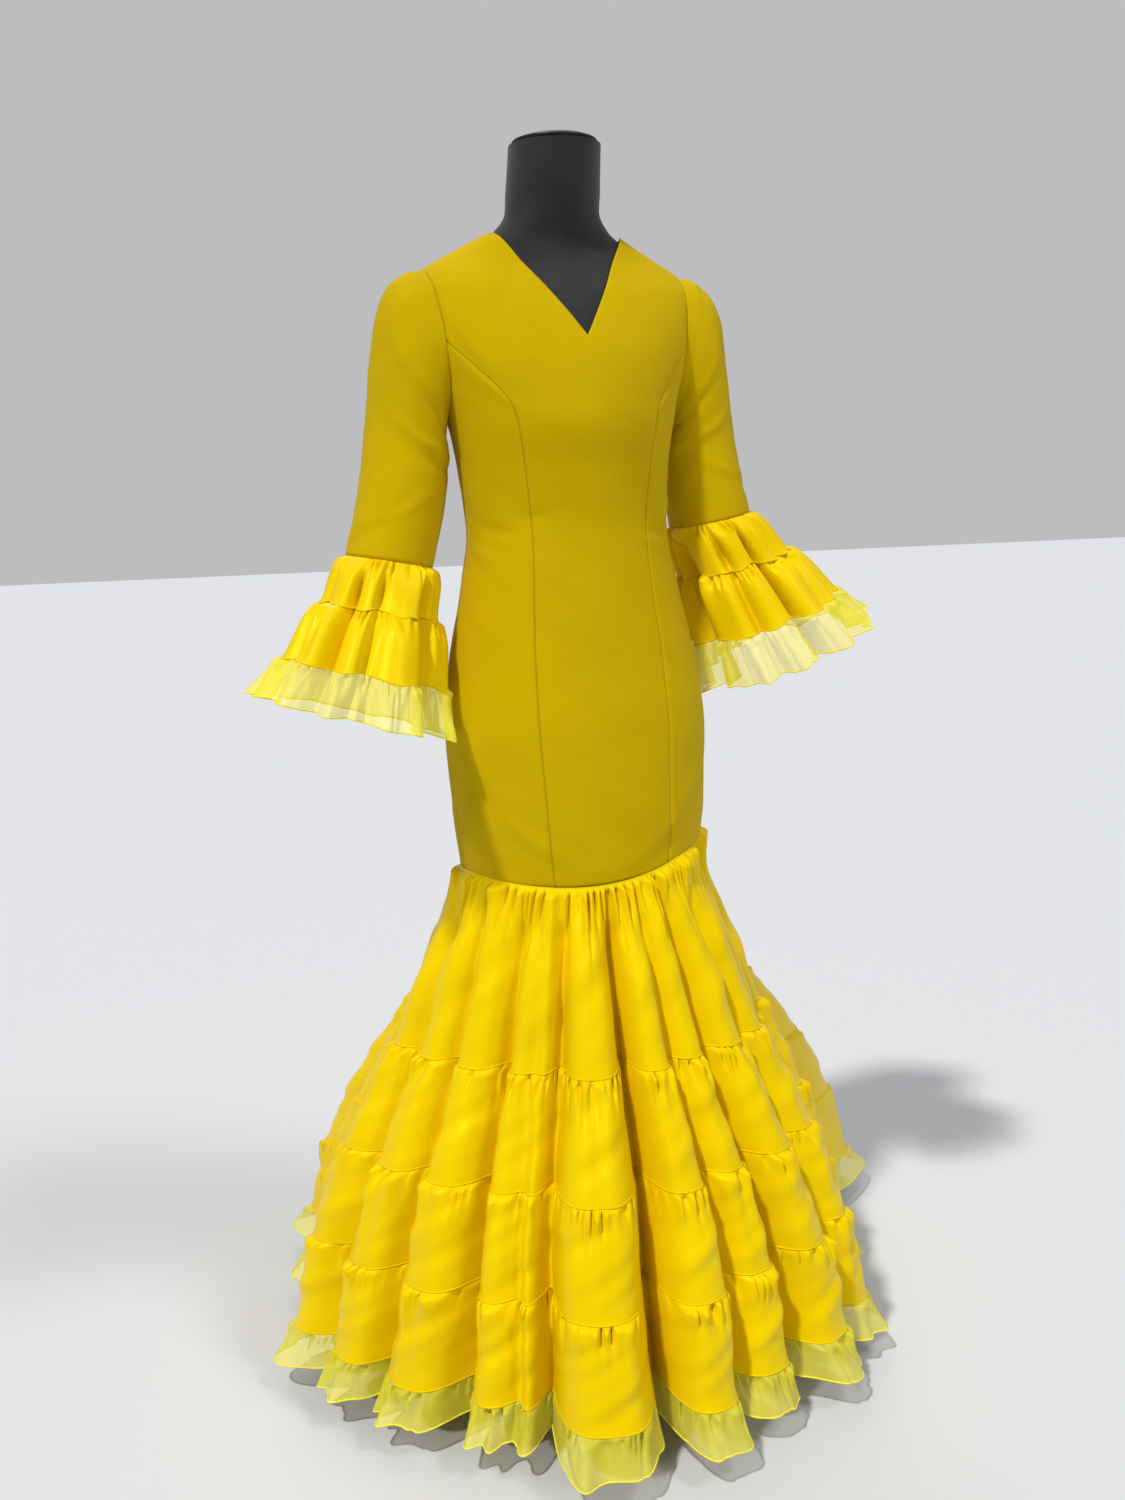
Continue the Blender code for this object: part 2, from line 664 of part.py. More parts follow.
def turned(name, profile, slot, middle_y=0.0):
    """A closed body of revolution about a vertical line: profile is (radius, z) from axis to axis."""
    body = bmesh.new()
    points = [body.verts.new((radius, 0.0, z)) for radius, z in profile]
    for start, end in zip(points, points[1:]):
        body.edges.new((start, end))
    bmesh.ops.spin(
        body,
        geom=body.verts[:] + body.edges[:],
        axis=(0.0, 0.0, 1.0),
        cent=(0.0, 0.0, 0.0),
        angle=2.0 * math.pi,
        steps=TURN_STEPS,
        use_merge=True,
        use_duplicate=False,
    )
    bmesh.ops.remove_doubles(body, verts=body.verts, dist=NUDGE / 10.0)
    bmesh.ops.recalc_face_normals(body, faces=body.faces)
    bmesh.ops.translate(body, vec=(0.0, middle_y, 0.0), verts=body.verts)
    return add_object(name, body, slot)


def make_form():
    make_torso()
    neck_top = NECK_LEVELS[-1]
    low = neck_top + SEAM_GAP
    turned(
        "form_neck_cap",
        ((0.0, low), (CAP_RADIUS, low), (CAP_RADIUS, low + CAP_HEIGHT / 2.0),
         (CAP_RADIUS * 0.8, low + CAP_HEIGHT), (0.0, low + CAP_HEIGHT)),
        "form_metal",
        middle_y=along(BODY, "middle_y", neck_top),
    )
    turned(
        "form_base",
        ((0.0, 0.0), (BASE_RADIUS, 0.0), (BASE_RADIUS, BASE_EDGE_HEIGHT), (SOCKET_RADIUS, BASE_CROWN_HEIGHT),
         (SOCKET_RADIUS, SOCKET_TOP_Z), (0.0, SOCKET_TOP_Z)),
        "form_metal",
    )
    pole_bottom = SOCKET_TOP_Z + SEAM_GAP
    pole_top = FORM_BOTTOM_Z - SEAM_GAP
    turned(
        "form_pole",
        ((0.0, pole_bottom), (POLE_RADIUS, pole_bottom), (POLE_RADIUS, pole_top), (0.0, pole_top)),
        "form_metal",
    )


def main():
    clear_scene()
    make_fitted_panels()
    make_zip()
    for side in SIDE_SIGN:
        make_sleeve(side)
    make_skirt()
    make_form()


main()
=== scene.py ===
# %% [markdown]
# # A flamenco dress on a dress form
# The dress is a fitted crepe body, two full crepe sleeves, and gathered satin tiers with
# organza ruffles on the skirt and the cuffs. It stands on a black limbless form. This lesson
# loads the fixed frame first: its solids say where each piece is and how big it is. Each piece
# of cloth is then a thin shell on its own solid's form, with folds, gathers and creases.

# %% Load the frame
import math
from collections import namedtuple

import bmesh
import bpy
import numpy as np
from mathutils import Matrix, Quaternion, Vector


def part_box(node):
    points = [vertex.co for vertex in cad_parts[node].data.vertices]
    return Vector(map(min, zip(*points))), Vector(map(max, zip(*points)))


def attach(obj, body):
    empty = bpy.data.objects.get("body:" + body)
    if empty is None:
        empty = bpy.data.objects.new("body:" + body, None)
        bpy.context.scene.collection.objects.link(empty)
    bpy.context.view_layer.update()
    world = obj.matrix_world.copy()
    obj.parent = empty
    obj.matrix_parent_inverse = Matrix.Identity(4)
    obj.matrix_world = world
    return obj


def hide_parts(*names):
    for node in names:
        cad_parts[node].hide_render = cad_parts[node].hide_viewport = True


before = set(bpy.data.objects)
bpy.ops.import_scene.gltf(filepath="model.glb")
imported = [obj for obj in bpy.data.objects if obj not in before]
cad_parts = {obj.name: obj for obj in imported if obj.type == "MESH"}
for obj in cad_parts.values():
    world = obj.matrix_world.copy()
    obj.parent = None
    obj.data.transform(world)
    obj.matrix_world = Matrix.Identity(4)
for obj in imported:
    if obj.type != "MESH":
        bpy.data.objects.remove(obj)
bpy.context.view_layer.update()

ROOT = "root"

# %% [markdown]
# ## The camera
# A standing figure is seen best from a little above the waist. The camera could be aimed with
# a Track To constraint, but plain angles are easier to read: it stands to the wearer's right,
# looks down a little, and is rolled by less than two degrees, as a hand-held view would be.

# %% Place the camera
CAMERA_AZIMUTH = math.radians(-22.0)
CAMERA_DISTANCE = 1.93
CAMERA_HEIGHT = 1.10
CAMERA_PITCH = math.radians(-9.0)
CAMERA_YAW = math.radians(0.6)
CAMERA_ROLL = math.radians(-1.75)
CAMERA_LENS = 36.0
CAMERA_SENSOR = 36.0


def make_camera():
    lens = bpy.data.cameras.new("camera")
    lens.lens = CAMERA_LENS
    lens.sensor_width = CAMERA_SENSOR
    camera = bpy.data.objects.new("camera", lens)
    bpy.context.scene.collection.objects.link(camera)
    away = Vector((math.sin(CAMERA_AZIMUTH), -math.cos(CAMERA_AZIMUTH), 0.0)) * CAMERA_DISTANCE
    camera.location = away + Vector((0.0, 0.0, CAMERA_HEIGHT))
    camera.rotation_mode = "QUATERNION"
    heading = CAMERA_AZIMUTH + CAMERA_YAW
    forward = Vector((-math.sin(heading), math.cos(heading), math.tan(CAMERA_PITCH)))
    look = forward.to_track_quat("-Z", "Y")
    camera.rotation_quaternion = look @ Quaternion((0.0, 0.0, 1.0), CAMERA_ROLL)
    bpy.context.scene.camera = camera
    return camera


make_camera()
print("camera height:", CAMERA_HEIGHT, "distance:", CAMERA_DISTANCE)

# %% [markdown]
# ## Tables and smooth curves
# A maker writes sizes as a short table: one row for each level, ring or fold. A plain line
# between rows would show a kink at each, and a spline could swell past them, so a monotone
# cubic joins them: it is smooth and never overshoots a row. Arrays keep it quick.

# %% Read tables smoothly
def mix(low, high, share):
    return low + (high - low) * share


def ease(share):
    share = np.clip(share, 0.0, 1.0)
    return share * share * (3.0 - 2.0 * share)


def along(table, column, at):
    """Values of a table's column at many places, joined by a monotone cubic."""
    places = np.array([row[0] for row in table])
    values = np.array([getattr(row, column) for row in table])
    if places[0] > places[-1]:
        places, values = places[::-1], values[::-1]
    at = np.clip(at, places[0], places[-1])
    spans = np.diff(places)
    slopes = np.diff(values) / spans
    before = np.concatenate([slopes[:1], slopes])
    after = np.concatenate([slopes, slopes[-1:]])
    same_way = before * after > 0.0
    total = np.where(same_way, before + after, 1.0)
    tangents = np.where(same_way, 2.0 * before * after / total, 0.0)
    slot = np.clip(np.searchsorted(places, at, side="right") - 1, 0, len(spans) - 1)
    share = (at - places[slot]) / spans[slot]
    rest = 1.0 - share
    return (
        values[slot] * (1.0 + 2.0 * share) * rest * rest
        + values[slot + 1] * (1.0 + 2.0 * rest) * share * share
        + spans[slot] * (tangents[slot] * rest - tangents[slot + 1] * share) * share * rest
    )


def wander(at, seed):
    """A gentle uneven wave between about -1 and 1 that never repeats closely."""
    turn = 2.0 * np.pi * at
    return (
        0.5 * np.sin(turn + 1.3 * seed)
        + 0.3 * np.sin(1.73 * turn + 2.1 * seed)
        + 0.2 * np.sin(2.91 * turn + 4.7 * seed)
    )


# %% [markdown]
# ## From a flat cut to a worn piece
# Every piece of cloth starts as what comes off the cutting table: a flat rectangle. In Blender
# that is a grid, whose UV map is laid out near metres so that weave and grain keep their scale.
# Each point is then moved to its place on the worn form. Sculpting by hand could do this too,
# but a function gives the same drape each run and lets neighbours share one seam line.

# %% Cut and place a sheet
WELD = 1e-5


def set_points(mesh, points):
    mesh.vertices.foreach_set("co", np.ascontiguousarray(points, dtype=np.float32).ravel())
    mesh.update()


def get_points(mesh):
    points = np.empty(len(mesh.vertices) * 3, np.float32)
    mesh.vertices.foreach_get("co", points)
    return points.reshape(-1, 3).astype(float)


def weld(mesh, flip=False):
    """Joins points that share a place, and turns the faces round if asked."""
    sheet = bmesh.new()
    sheet.from_mesh(mesh)
    bmesh.ops.remove_doubles(sheet, verts=sheet.verts, dist=WELD)
    if flip:
        bmesh.ops.reverse_faces(sheet, faces=sheet.faces)
    sheet.to_mesh(mesh)
    sheet.free()


def cut_sheet(name, across, down, place, size, flip=False):
    """A flat grid of across by down squares, placed by place(u, v), with a UV map of this size."""
    sheet = bmesh.new()
    layer = sheet.loops.layers.uv.new("cut")
    bmesh.ops.create_grid(sheet, x_segments=across, y_segments=down, size=0.5, calc_uvs=False)
    for face in sheet.faces:
        for loop in face.loops:
            loop[layer].uv = ((loop.vert.co.x + 0.5) * size[0], (loop.vert.co.y + 0.5) * size[1])
    mesh = bpy.data.meshes.new(name)
    sheet.to_mesh(mesh)
    sheet.free()
    flat = get_points(mesh)
    set_points(mesh, place(flat[:, 0] + 0.5, flat[:, 1] + 0.5))
    weld(mesh, flip)
    mesh.shade_smooth()
    made = bpy.data.objects.new(name, mesh)
    bpy.context.scene.collection.objects.link(made)
    return made


def join_into(keep, *others):
    """Puts other pieces into one mesh and welds the edges that they share."""
    joined = bmesh.new()
    for piece in (keep, *others):
        joined.from_mesh(piece.data)
    bmesh.ops.remove_doubles(joined, verts=joined.verts, dist=WELD)
    joined.to_mesh(keep.data)
    joined.free()
    for piece in others:
        bpy.data.objects.remove(piece, do_unlink=True)
    keep.data.shade_smooth()
    return keep


def add_thickness(piece, thickness):
    wall = piece.modifiers.new("thickness", "SOLIDIFY")
    wall.thickness = thickness
    wall.offset = 0.0


def finish_piece(piece, slot, finish, *nodes):
    """Gives a piece its material, hangs it from the root and hides any solids that it stands for."""
    piece.data.materials.clear()
    piece.data.materials.append(finish)
    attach(piece, ROOT)
    if nodes:
        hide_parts(*nodes)
    return piece


# %% [markdown]
# ## Finishes
# Three cloths and three hard finishes. Crepe is matt, with a fine pebble that breaks up the
# light. Satin is smoother and brighter, with a fine cross weave. Organza is sheer and crisp.
# A picture could hold the weave, but noise and wave nodes stay sharp at any distance. Patterns
# read the cut's UV map, laid out close to metres, so a thread is much the same size everywhere.

# %% Helpers for materials
def new_material(name, colour, roughness, **sockets):
    made = bpy.data.materials.new(name)
    made.use_nodes = True
    shader = made.node_tree.nodes["Principled BSDF"]
    shader.inputs["Base Color"].default_value = (*colour, 1.0)
    shader.inputs["Roughness"].default_value = roughness
    for label, value in sockets.items():
        shader.inputs[label.replace("_", " ")].default_value = value
    return made, made.node_tree.nodes, made.node_tree.links, shader


def vary_colour(nodes, links, shader, light, dark, scale, source):
    """Mottles the base colour between two close tones with a soft noise."""
    noise = nodes.new("ShaderNodeTexNoise")
    noise.inputs["Scale"].default_value = scale
    noise.inputs["Detail"].default_value = 4.0
    ramp = nodes.new("ShaderNodeValToRGB")
    ramp.color_ramp.elements[0].position = 0.35
    ramp.color_ramp.elements[1].position = 0.65
    ramp.color_ramp.elements[0].color = (*dark, 1.0)
    ramp.color_ramp.elements[1].color = (*light, 1.0)
    links.new(source, noise.inputs["Vector"])
    links.new(noise.outputs["Fac"], ramp.inputs["Fac"])
    links.new(ramp.outputs["Color"], shader.inputs["Base Color"])


def add_bump(nodes, links, shader, height, distance, strength):
    bump = nodes.new("ShaderNodeBump")
    bump.inputs["Strength"].default_value = strength
    bump.inputs["Distance"].default_value = distance
    links.new(height, bump.inputs["Height"])
    links.new(bump.outputs["Normal"], shader.inputs["Normal"])


def weave_height(nodes, links, source, threads_per_metre):
    """Height of a plain weave: two sets of threads that cross."""
    heights = []
    for direction in ("X", "Y"):
        wave = nodes.new("ShaderNodeTexWave")
        wave.bands_direction = direction
        wave.inputs["Scale"].default_value = threads_per_metre / 20.0
        wave.inputs["Distortion"].default_value = 0.6
        wave.inputs["Detail"].default_value = 1.0
        links.new(source, wave.inputs["Vector"])
        heights.append(wave.outputs["Fac"])
    total = nodes.new("ShaderNodeMath")
    total.operation = "ADD"
    for index, height in enumerate(heights):
        links.new(height, total.inputs[index])
    return total.outputs["Value"]


# %% The cloths
def make_crepe():
    tint = (0.58, 0.405, 0.001)
    made, nodes, links, shader = new_material("stretch_crepe", tint, 0.80, Sheen_Weight=0.02)
    shader.inputs["Sheen Roughness"].default_value = 0.5
    shader.inputs["Specular IOR Level"].default_value = 0.15
    shader.inputs["Specular Tint"].default_value = (1.0, 0.82, 0.04, 1.0)
    coords = nodes.new("ShaderNodeTexCoord")
    light, dark = (0.59, 0.41, 0.001), (0.55, 0.38, 0.001)
    vary_colour(nodes, links, shader, light, dark, 9.0, coords.outputs["Object"])
    pebble = nodes.new("ShaderNodeTexNoise")
    pebble.inputs["Scale"].default_value = 1400.0
    pebble.inputs["Detail"].default_value = 3.0
    links.new(coords.outputs["UV"], pebble.inputs["Vector"])
    add_bump(nodes, links, shader, pebble.outputs["Fac"], 0.0004, 0.5)
    return made


def make_satin():
    made, nodes, links, shader = new_material("soft_satin", (0.86, 0.61, 0.001), 0.38, Sheen_Weight=0.0)
    shader.inputs["Sheen Roughness"].default_value = 0.4
    shader.inputs["Specular IOR Level"].default_value = 0.42
    shader.inputs["Specular Tint"].default_value = (1.0, 0.82, 0.04, 1.0)
    coords = nodes.new("ShaderNodeTexCoord")
    light, dark = (0.87, 0.625, 0.001), (0.82, 0.58, 0.001)
    vary_colour(nodes, links, shader, light, dark, 7.0, coords.outputs["Object"])
    weave = weave_height(nodes, links, coords.outputs["UV"], 2400.0)
    add_bump(nodes, links, shader, weave, 0.0002, 0.25)
    return made


def make_organza():
    tint = (0.92, 0.84, 0.04)
    made, nodes, links, shader = new_material("sheer_organza", tint, 0.45, Sheen_Weight=0.05)
    shader.inputs["Alpha"].default_value = 0.60
    shader.inputs["Specular IOR Level"].default_value = 0.4
    coords = nodes.new("ShaderNodeTexCoord")
    light, dark = (0.94, 0.86, 0.05), (0.88, 0.79, 0.03)
    vary_colour(nodes, links, shader, light, dark, 12.0, coords.outputs["Object"])
    weave = weave_height(nodes, links, coords.outputs["UV"], 1600.0)
    add_bump(nodes, links, shader, weave, 0.0002, 0.35)
    return made


def make_thread():
    tint = (0.92, 0.82, 0.02)
    made, nodes, links, shader = new_material("rolled_edge_thread", tint, 0.55, Sheen_Weight=0.1)
    coords = nodes.new("ShaderNodeTexCoord")
    twist = nodes.new("ShaderNodeTexNoise")
    twist.inputs["Scale"].default_value = 900.0
    links.new(coords.outputs["Object"], twist.inputs["Vector"])
    add_bump(nodes, links, shader, twist.outputs["Fac"], 0.0003, 0.4)
    return made


# %% The form's finishes
def make_form_cover():
    tint = (0.010, 0.010, 0.011)
    made, nodes, links, shader = new_material("black_jersey", tint, 0.85, Sheen_Weight=0.2)
    coords = nodes.new("ShaderNodeTexCoord")
    light, dark = (0.013, 0.013, 0.014), (0.007, 0.007, 0.008)
    vary_colour(nodes, links, shader, light, dark, 30.0, coords.outputs["Object"])
    knit = nodes.new("ShaderNodeTexNoise")
    knit.inputs["Scale"].default_value = 1100.0
    links.new(coords.outputs["Object"], knit.inputs["Vector"])
    add_bump(nodes, links, shader, knit.outputs["Fac"], 0.0004, 0.4)
    return made


def make_black_paint():
    made, nodes, links, shader = new_material("black_paint", (0.015, 0.015, 0.017), 0.38, Metallic=0.4)
    coords = nodes.new("ShaderNodeTexCoord")
    peel = nodes.new("ShaderNodeTexNoise")
    peel.inputs["Scale"].default_value = 260.0
    links.new(coords.outputs["Object"], peel.inputs["Vector"])
    add_bump(nodes, links, shader, peel.outputs["Fac"], 0.0002, 0.2)
    return made


def make_zip_coil():
    made, nodes, links, shader = new_material("zip_coil", (0.72, 0.50, 0.01), 0.5)
    coords = nodes.new("ShaderNodeTexCoord")
    teeth = nodes.new("ShaderNodeTexWave")
    teeth.bands_direction = "Z"
    teeth.inputs["Scale"].default_value = 40.0
    links.new(coords.outputs["Object"], teeth.inputs["Vector"])
    add_bump(nodes, links, shader, teeth.outputs["Fac"], 0.0004, 0.6)
    return made


CREPE = make_crepe()
SATIN = make_satin()
ORGANZA = make_organza()
THREAD = make_thread()
FORM_COVER = make_form_cover()
BLACK_PAINT = make_black_paint()
ZIP_COIL = make_zip_coil()
print("finishes:", len(bpy.data.materials))

# %% [markdown]
# ## The fitted form
# One smooth surface carries the form, the zip and every fitted panel. Each row of the table is
# an ellipse: half width, depth in front, depth behind, and where its middle lies. A panel is
# the stretch of that surface between two seams.

# %% Table of the fitted surface
Section = namedtuple("Section", "z half_width front back middle_y")
BODY = (
    Section(0.600, 0.157, 0.121, 0.120, 0.000),
    Section(0.640, 0.160, 0.120, 0.121, 0.000),
    Section(0.730, 0.169, 0.118, 0.126, 0.000),
    Section(0.830, 0.174, 0.113, 0.124, 0.002),
    Section(0.920, 0.164, 0.104, 0.111, 0.006),
    Section(1.000, 0.146, 0.096, 0.100, 0.010),
    Section(1.080, 0.133, 0.092, 0.092, 0.014),
    Section(1.150, 0.138, 0.102, 0.094, 0.020),
    Section(1.220, 0.150, 0.118, 0.094, 0.027),
    Section(1.280, 0.171, 0.113, 0.092, 0.033),
    Section(1.330, 0.189, 0.099, 0.087, 0.038),
    Section(1.370, 0.194, 0.082, 0.076, 0.042),
    Section(1.392, 0.179, 0.068, 0.066, 0.044),
    Section(1.410, 0.151, 0.058, 0.060, 0.045),
    Section(1.430, 0.113, 0.054, 0.058, 0.043),
    Section(1.450, 0.078, 0.056, 0.058, 0.040),
    Section(1.470, 0.062, 0.058, 0.058, 0.036),
    Section(1.500, 0.059, 0.059, 0.059, 0.030),
    Section(1.560, 0.057, 0.057, 0.057, 0.018),
)
UNDERARM = (0.1500, 1.220)
SHOULDER_POINT = (0.1720, 1.396)
HIP_SEAM_Z = 0.640
HIP_SEAM_SIDE_RISE = 0.026
HIP_SEAM_TILT = 0.015
PRINCESS_TOP_Z = 1.31
NECK_TOP_Z = 1.441
NECK_HALF_WIDTH = 0.084
NUDGE = 1e-4


def body_points(degrees, z):
    turn = np.radians(degrees)
    depth = np.where(np.cos(turn) > 0.0, along(BODY, "front", z), along(BODY, "back", z))
    x = along(BODY, "half_width", z) * np.sin(turn)
    y = along(BODY, "middle_y", z) - depth * np.cos(turn)
    return np.stack([x, y, z + 0.0 * x], axis=-1)


def normals_of(surface, u, v, step_u=1.0, step_v=1.0):
    """Outward normals of surface(u, v), from small steps each way."""
    across = surface(u + NUDGE * step_u, v) - surface(u - NUDGE * step_u, v)
    upward = surface(u, v + NUDGE * step_v) - surface(u, v - NUDGE * step_v)
    normal = np.cross(across, upward)
    return normal / np.maximum(np.linalg.norm(normal, axis=-1, keepdims=True), 1e-12)


def armhole_x(z):
    return mix(UNDERARM[0], SHOULDER_POINT[0], (z - UNDERARM[1]) / (SHOULDER_POINT[1] - UNDERARM[1]))


def armhole_degrees(z):
    reach = np.clip(armhole_x(z) / along(BODY, "half_width", z), 0.0, 1.0)
    return np.where(z <= UNDERARM[1], 90.0, np.degrees(np.arcsin(reach)))


def hip_seam_z(degrees):
    side = np.sin(np.radians(degrees))
    return HIP_SEAM_Z + HIP_SEAM_SIDE_RISE * side * side + HIP_SEAM_TILT * side


# %% [markdown]
# ## The dress form
# A tailor's form is a smooth covered shell on a pole. Its torso follows the fitted surface a
# few millimetres inside the cloth, is cut flat at the arm plates and runs up into a bare neck.
# The cap, pole and base are turned work, so each is a profile that is spun round once.

# %% Torso
FORM_INSET = 0.0050
NECK_FADE_TOP_Z = 1.490
FORM_BOTTOM_Z = 0.668
NECK_END_Z = 1.547
ARM_PLATE_INSET = 0.010


def form_points(degrees, z):
    points = body_points(degrees, z)
    fade = np.clip((NECK_FADE_TOP_Z - z) / (NECK_FADE_TOP_Z - NECK_TOP_Z), 0.0, 1.0)
    points = points - normals_of(body_points, degrees, z) * (FORM_INSET * fade)[:, None]
    limit = np.where(z > UNDERARM[1], armhole_x(z) - ARM_PLATE_INSET, 1.0)
    points[:, 0] = np.clip(points[:, 0], -limit, limit)
    return points


def make_torso():
    def place(u, v):
        return form_points(360.0 * u, mix(FORM_BOTTOM_Z, NECK_END_Z, v))

    torso = cut_sheet("form_torso_cover", 96, 150, place, (1.0, 0.9))
    closed = bmesh.new()
    closed.from_mesh(torso.data)
    edges = [edge for edge in closed.edges if edge.is_boundary]
    bmesh.ops.holes_fill(closed, edges=edges, sides=0)
    bmesh.ops.recalc_face_normals(closed, faces=closed.faces)
    closed.to_mesh(torso.data)
    closed.free()
    torso.data.shade_smooth()
    torso.data.set_sharp_from_angle(angle=math.radians(50.0))
    return finish_piece(torso, "form_cover", FORM_COVER, "form_torso")


# %% Cap, pole and base
TURN_STEPS = 96


def turned(name, profile, bevel, middle_y=0.0):
    """Spins a profile of (radius, z) points round the pole's line and softens its edges."""
    body = bmesh.new()
    bmesh.ops.create_vert(body, co=(profile[0][0], 0.0, profile[0][1]))
    for radius, z in profile[1:]:
        body.verts.ensure_lookup_table()
        grown = bmesh.ops.extrude_vert_indiv(body, verts=[body.verts[-1]])
        grown["verts"][0].co = (radius, 0.0, z)
    bmesh.ops.spin(
        body, geom=body.verts[:] + body.edges[:], axis=(0.0, 0.0, 1.0), cent=(0.0, 0.0, 0.0),
        angle=2.0 * math.pi, steps=TURN_STEPS, use_merge=True, use_duplicate=False,
    )
    bmesh.ops.remove_doubles(body, verts=body.verts, dist=WELD)
    bmesh.ops.recalc_face_normals(body, faces=body.faces)
    corners = [edge for edge in body.edges if len(edge.link_faces) == 2 and edge.calc_face_angle() > 0.6]
    bmesh.ops.bevel(
        body, geom=corners, offset=bevel, offset_type="OFFSET", affect="EDGES",
        segments=3, profile=0.5, material=-1, clamp_overlap=True,
    )
    bmesh.ops.translate(body, vec=(0.0, middle_y, 0.0), verts=body.verts)
    mesh = bpy.data.meshes.new(name)
    body.to_mesh(mesh)
    body.free()
    mesh.shade_smooth()
    mesh.set_sharp_from_angle(angle=math.radians(50.0))
    made = bpy.data.objects.new(name, mesh)
    bpy.context.scene.collection.objects.link(made)
    return made


def node_profile(node):
    """Half width, lowest and highest level of a turned solid of the frame."""
    low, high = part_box(node)
    return (high[0] - low[0]) / 2.0, low[2], high[2]


def make_stand():
    radius, low, high = node_profile("form_neck_cap")
    middle_y = (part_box("form_neck_cap")[0][1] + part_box("form_neck_cap")[1][1]) / 2.0
    crown = ((0.0, low), (radius, low), (radius, mix(low, high, 0.5)), (0.8 * radius, high), (0.0, high))
    cap = turned("neck_cap", crown, 0.0012, middle_y)
    finish_piece(cap, "form_metal", BLACK_PAINT, "form_neck_cap")
    radius, low, high = node_profile("form_pole")
    pole = turned("stand_pole", ((0.0, low), (radius, low), (radius, high), (0.0, high)), 0.0015)
    finish_piece(pole, "form_metal", BLACK_PAINT, "form_pole")
    radius, low, high = node_profile("form_base")
    plate = ((0.0, low), (radius, low), (radius, 0.008), (0.024, 0.014), (0.024, high), (0.0, high))
    base = turned("stand_base", plate, 0.0012)
    finish_piece(base, "form_metal", BLACK_PAINT, "form_base")


make_torso()
make_stand()
print("form height:", round(node_profile("form_neck_cap")[2], 3))

# %% [markdown]
# ## The fitted panels
# The body is cut in princess panels: one centre front, two side fronts, two side backs and two
# backs that meet at a concealed zip. Cloth that fits this closely has almost no drape, only
# soft drag lines where it turns over the hips, the waist and under the arm. They are shallow
# troughs and ridges along short lines. A simulation would smooth them away, so each is listed
# with its own size. The edges of every panel curl in by under a millimetre, as a pressed
# seam does, and that fine groove is what the eye reads as a seam.

# %% Tables of seams and creases
Seam = namedtuple("Seam", "z front back")
PRINCESS = (
    Seam(0.640, 29.0, 31.0),
    Seam(0.830, 30.0, 32.0),
    Seam(1.080, 35.0, 35.0),
    Seam(1.220, 39.0, 40.0),
    Seam(1.310, 63.0, 63.0),
)

# Where a crease's middle lies, its length, its half width, how far it rises to the wearer's
# left in degrees, and how far it stands out (or, below zero, sinks in).
Crease = namedtuple("Crease", "degrees z length width slant height")
CREASES = (
    Crease(44.0, 0.735, 0.150, 0.013, 50.0, 0.0024),
    Crease(54.0, 0.750, 0.120, 0.010, 56.0, -0.0022),
    Crease(62.0, 0.785, 0.130, 0.014, 48.0, 0.0020),
    Crease(33.0, 0.690, 0.110, 0.010, 42.0, -0.0018),
    Crease(70.0, 0.715, 0.090, 0.009, 60.0, 0.0019),
    Crease(-48.0, 0.725, 0.120, 0.012, -52.0, 0.0017),
    Crease(-61.0, 0.760, 0.100, 0.011, -58.0, -0.0017),
    Crease(-36.0, 0.700, 0.080, 0.009, -40.0, 0.0012),
    Crease(8.0, 0.665, 0.110, 0.010, 12.0, 0.0010),
    Crease(58.0, 1.075, 0.085, 0.007, 12.0, -0.0022),
    Crease(66.0, 1.105, 0.070, 0.008, 20.0, 0.0018),
    Crease(-60.0, 1.080, 0.080, 0.007, -10.0, -0.0022),
    Crease(-70.0, 1.050, 0.065, 0.007, -18.0, 0.0016),
    Crease(40.0, 1.060, 0.070, 0.006, -8.0, 0.0012),
    Crease(-34.0, 1.095, 0.075, 0.006, 9.0, -0.0012),
    Crease(52.0, 1.275, 0.085, 0.008, 62.0, -0.0030),
    Crease(-52.0, 1.280, 0.080, 0.008, -64.0, -0.0030),
    Crease(47.0, 1.245, 0.070, 0.008, 52.0, 0.0020),
    Crease(-46.0, 1.250, 0.075, 0.008, -55.0, 0.0020),
    Crease(24.0, 1.375, 0.060, 0.009, -70.0, -0.0014),
    Crease(-26.0, 1.370, 0.070, 0.009, 68.0, -0.0016),
    Crease(128.0, 1.070, 0.090, 0.008, 9.0, -0.0030),
    Crease(160.0, 1.055, 0.110, 0.009, -7.0, 0.0024),
    Crease(205.0, 1.075, 0.100, 0.008, 8.0, -0.0028),
    Crease(228.0, 1.100, 0.085, 0.008, -14.0, 0.0022),
    Crease(176.0, 1.095, 0.120, 0.009, 4.0, -0.0020),
    Crease(140.0, 0.770, 0.110, 0.011, -48.0, 0.0018),
    Crease(215.0, 0.755, 0.120, 0.012, 50.0, 0.0020),
    Crease(126.0, 1.290, 0.090, 0.009, -60.0, -0.0030),
    Crease(234.0, 1.285, 0.085, 0.009, 61.0, -0.0028),
)
SEAM_CURL_WIDTH = 0.0022
SEAM_CURL_DEPTH = 0.0010
PANEL_GAP_DEGREES = 0.035
CREPE_THICKNESS = 0.0010
PANEL_DOWN = 130
PANEL_ACROSS = 44
BACK_ACROSS = 40
BODY_RADIUS = 0.14
BODY_UNEVEN = 0.0005
CREASE_BOW = 3.0
HIP_LIFT_FADE = 0.12
HIP_SEAM_GAP = 0.0006
HIP_CURL_DEPTH = 0.0004
HIP_CURL_WIDTH = 0.004
PANEL_UV_WIDTH = 0.18
SIDE_PANEL_TOP_GAP = 0.002


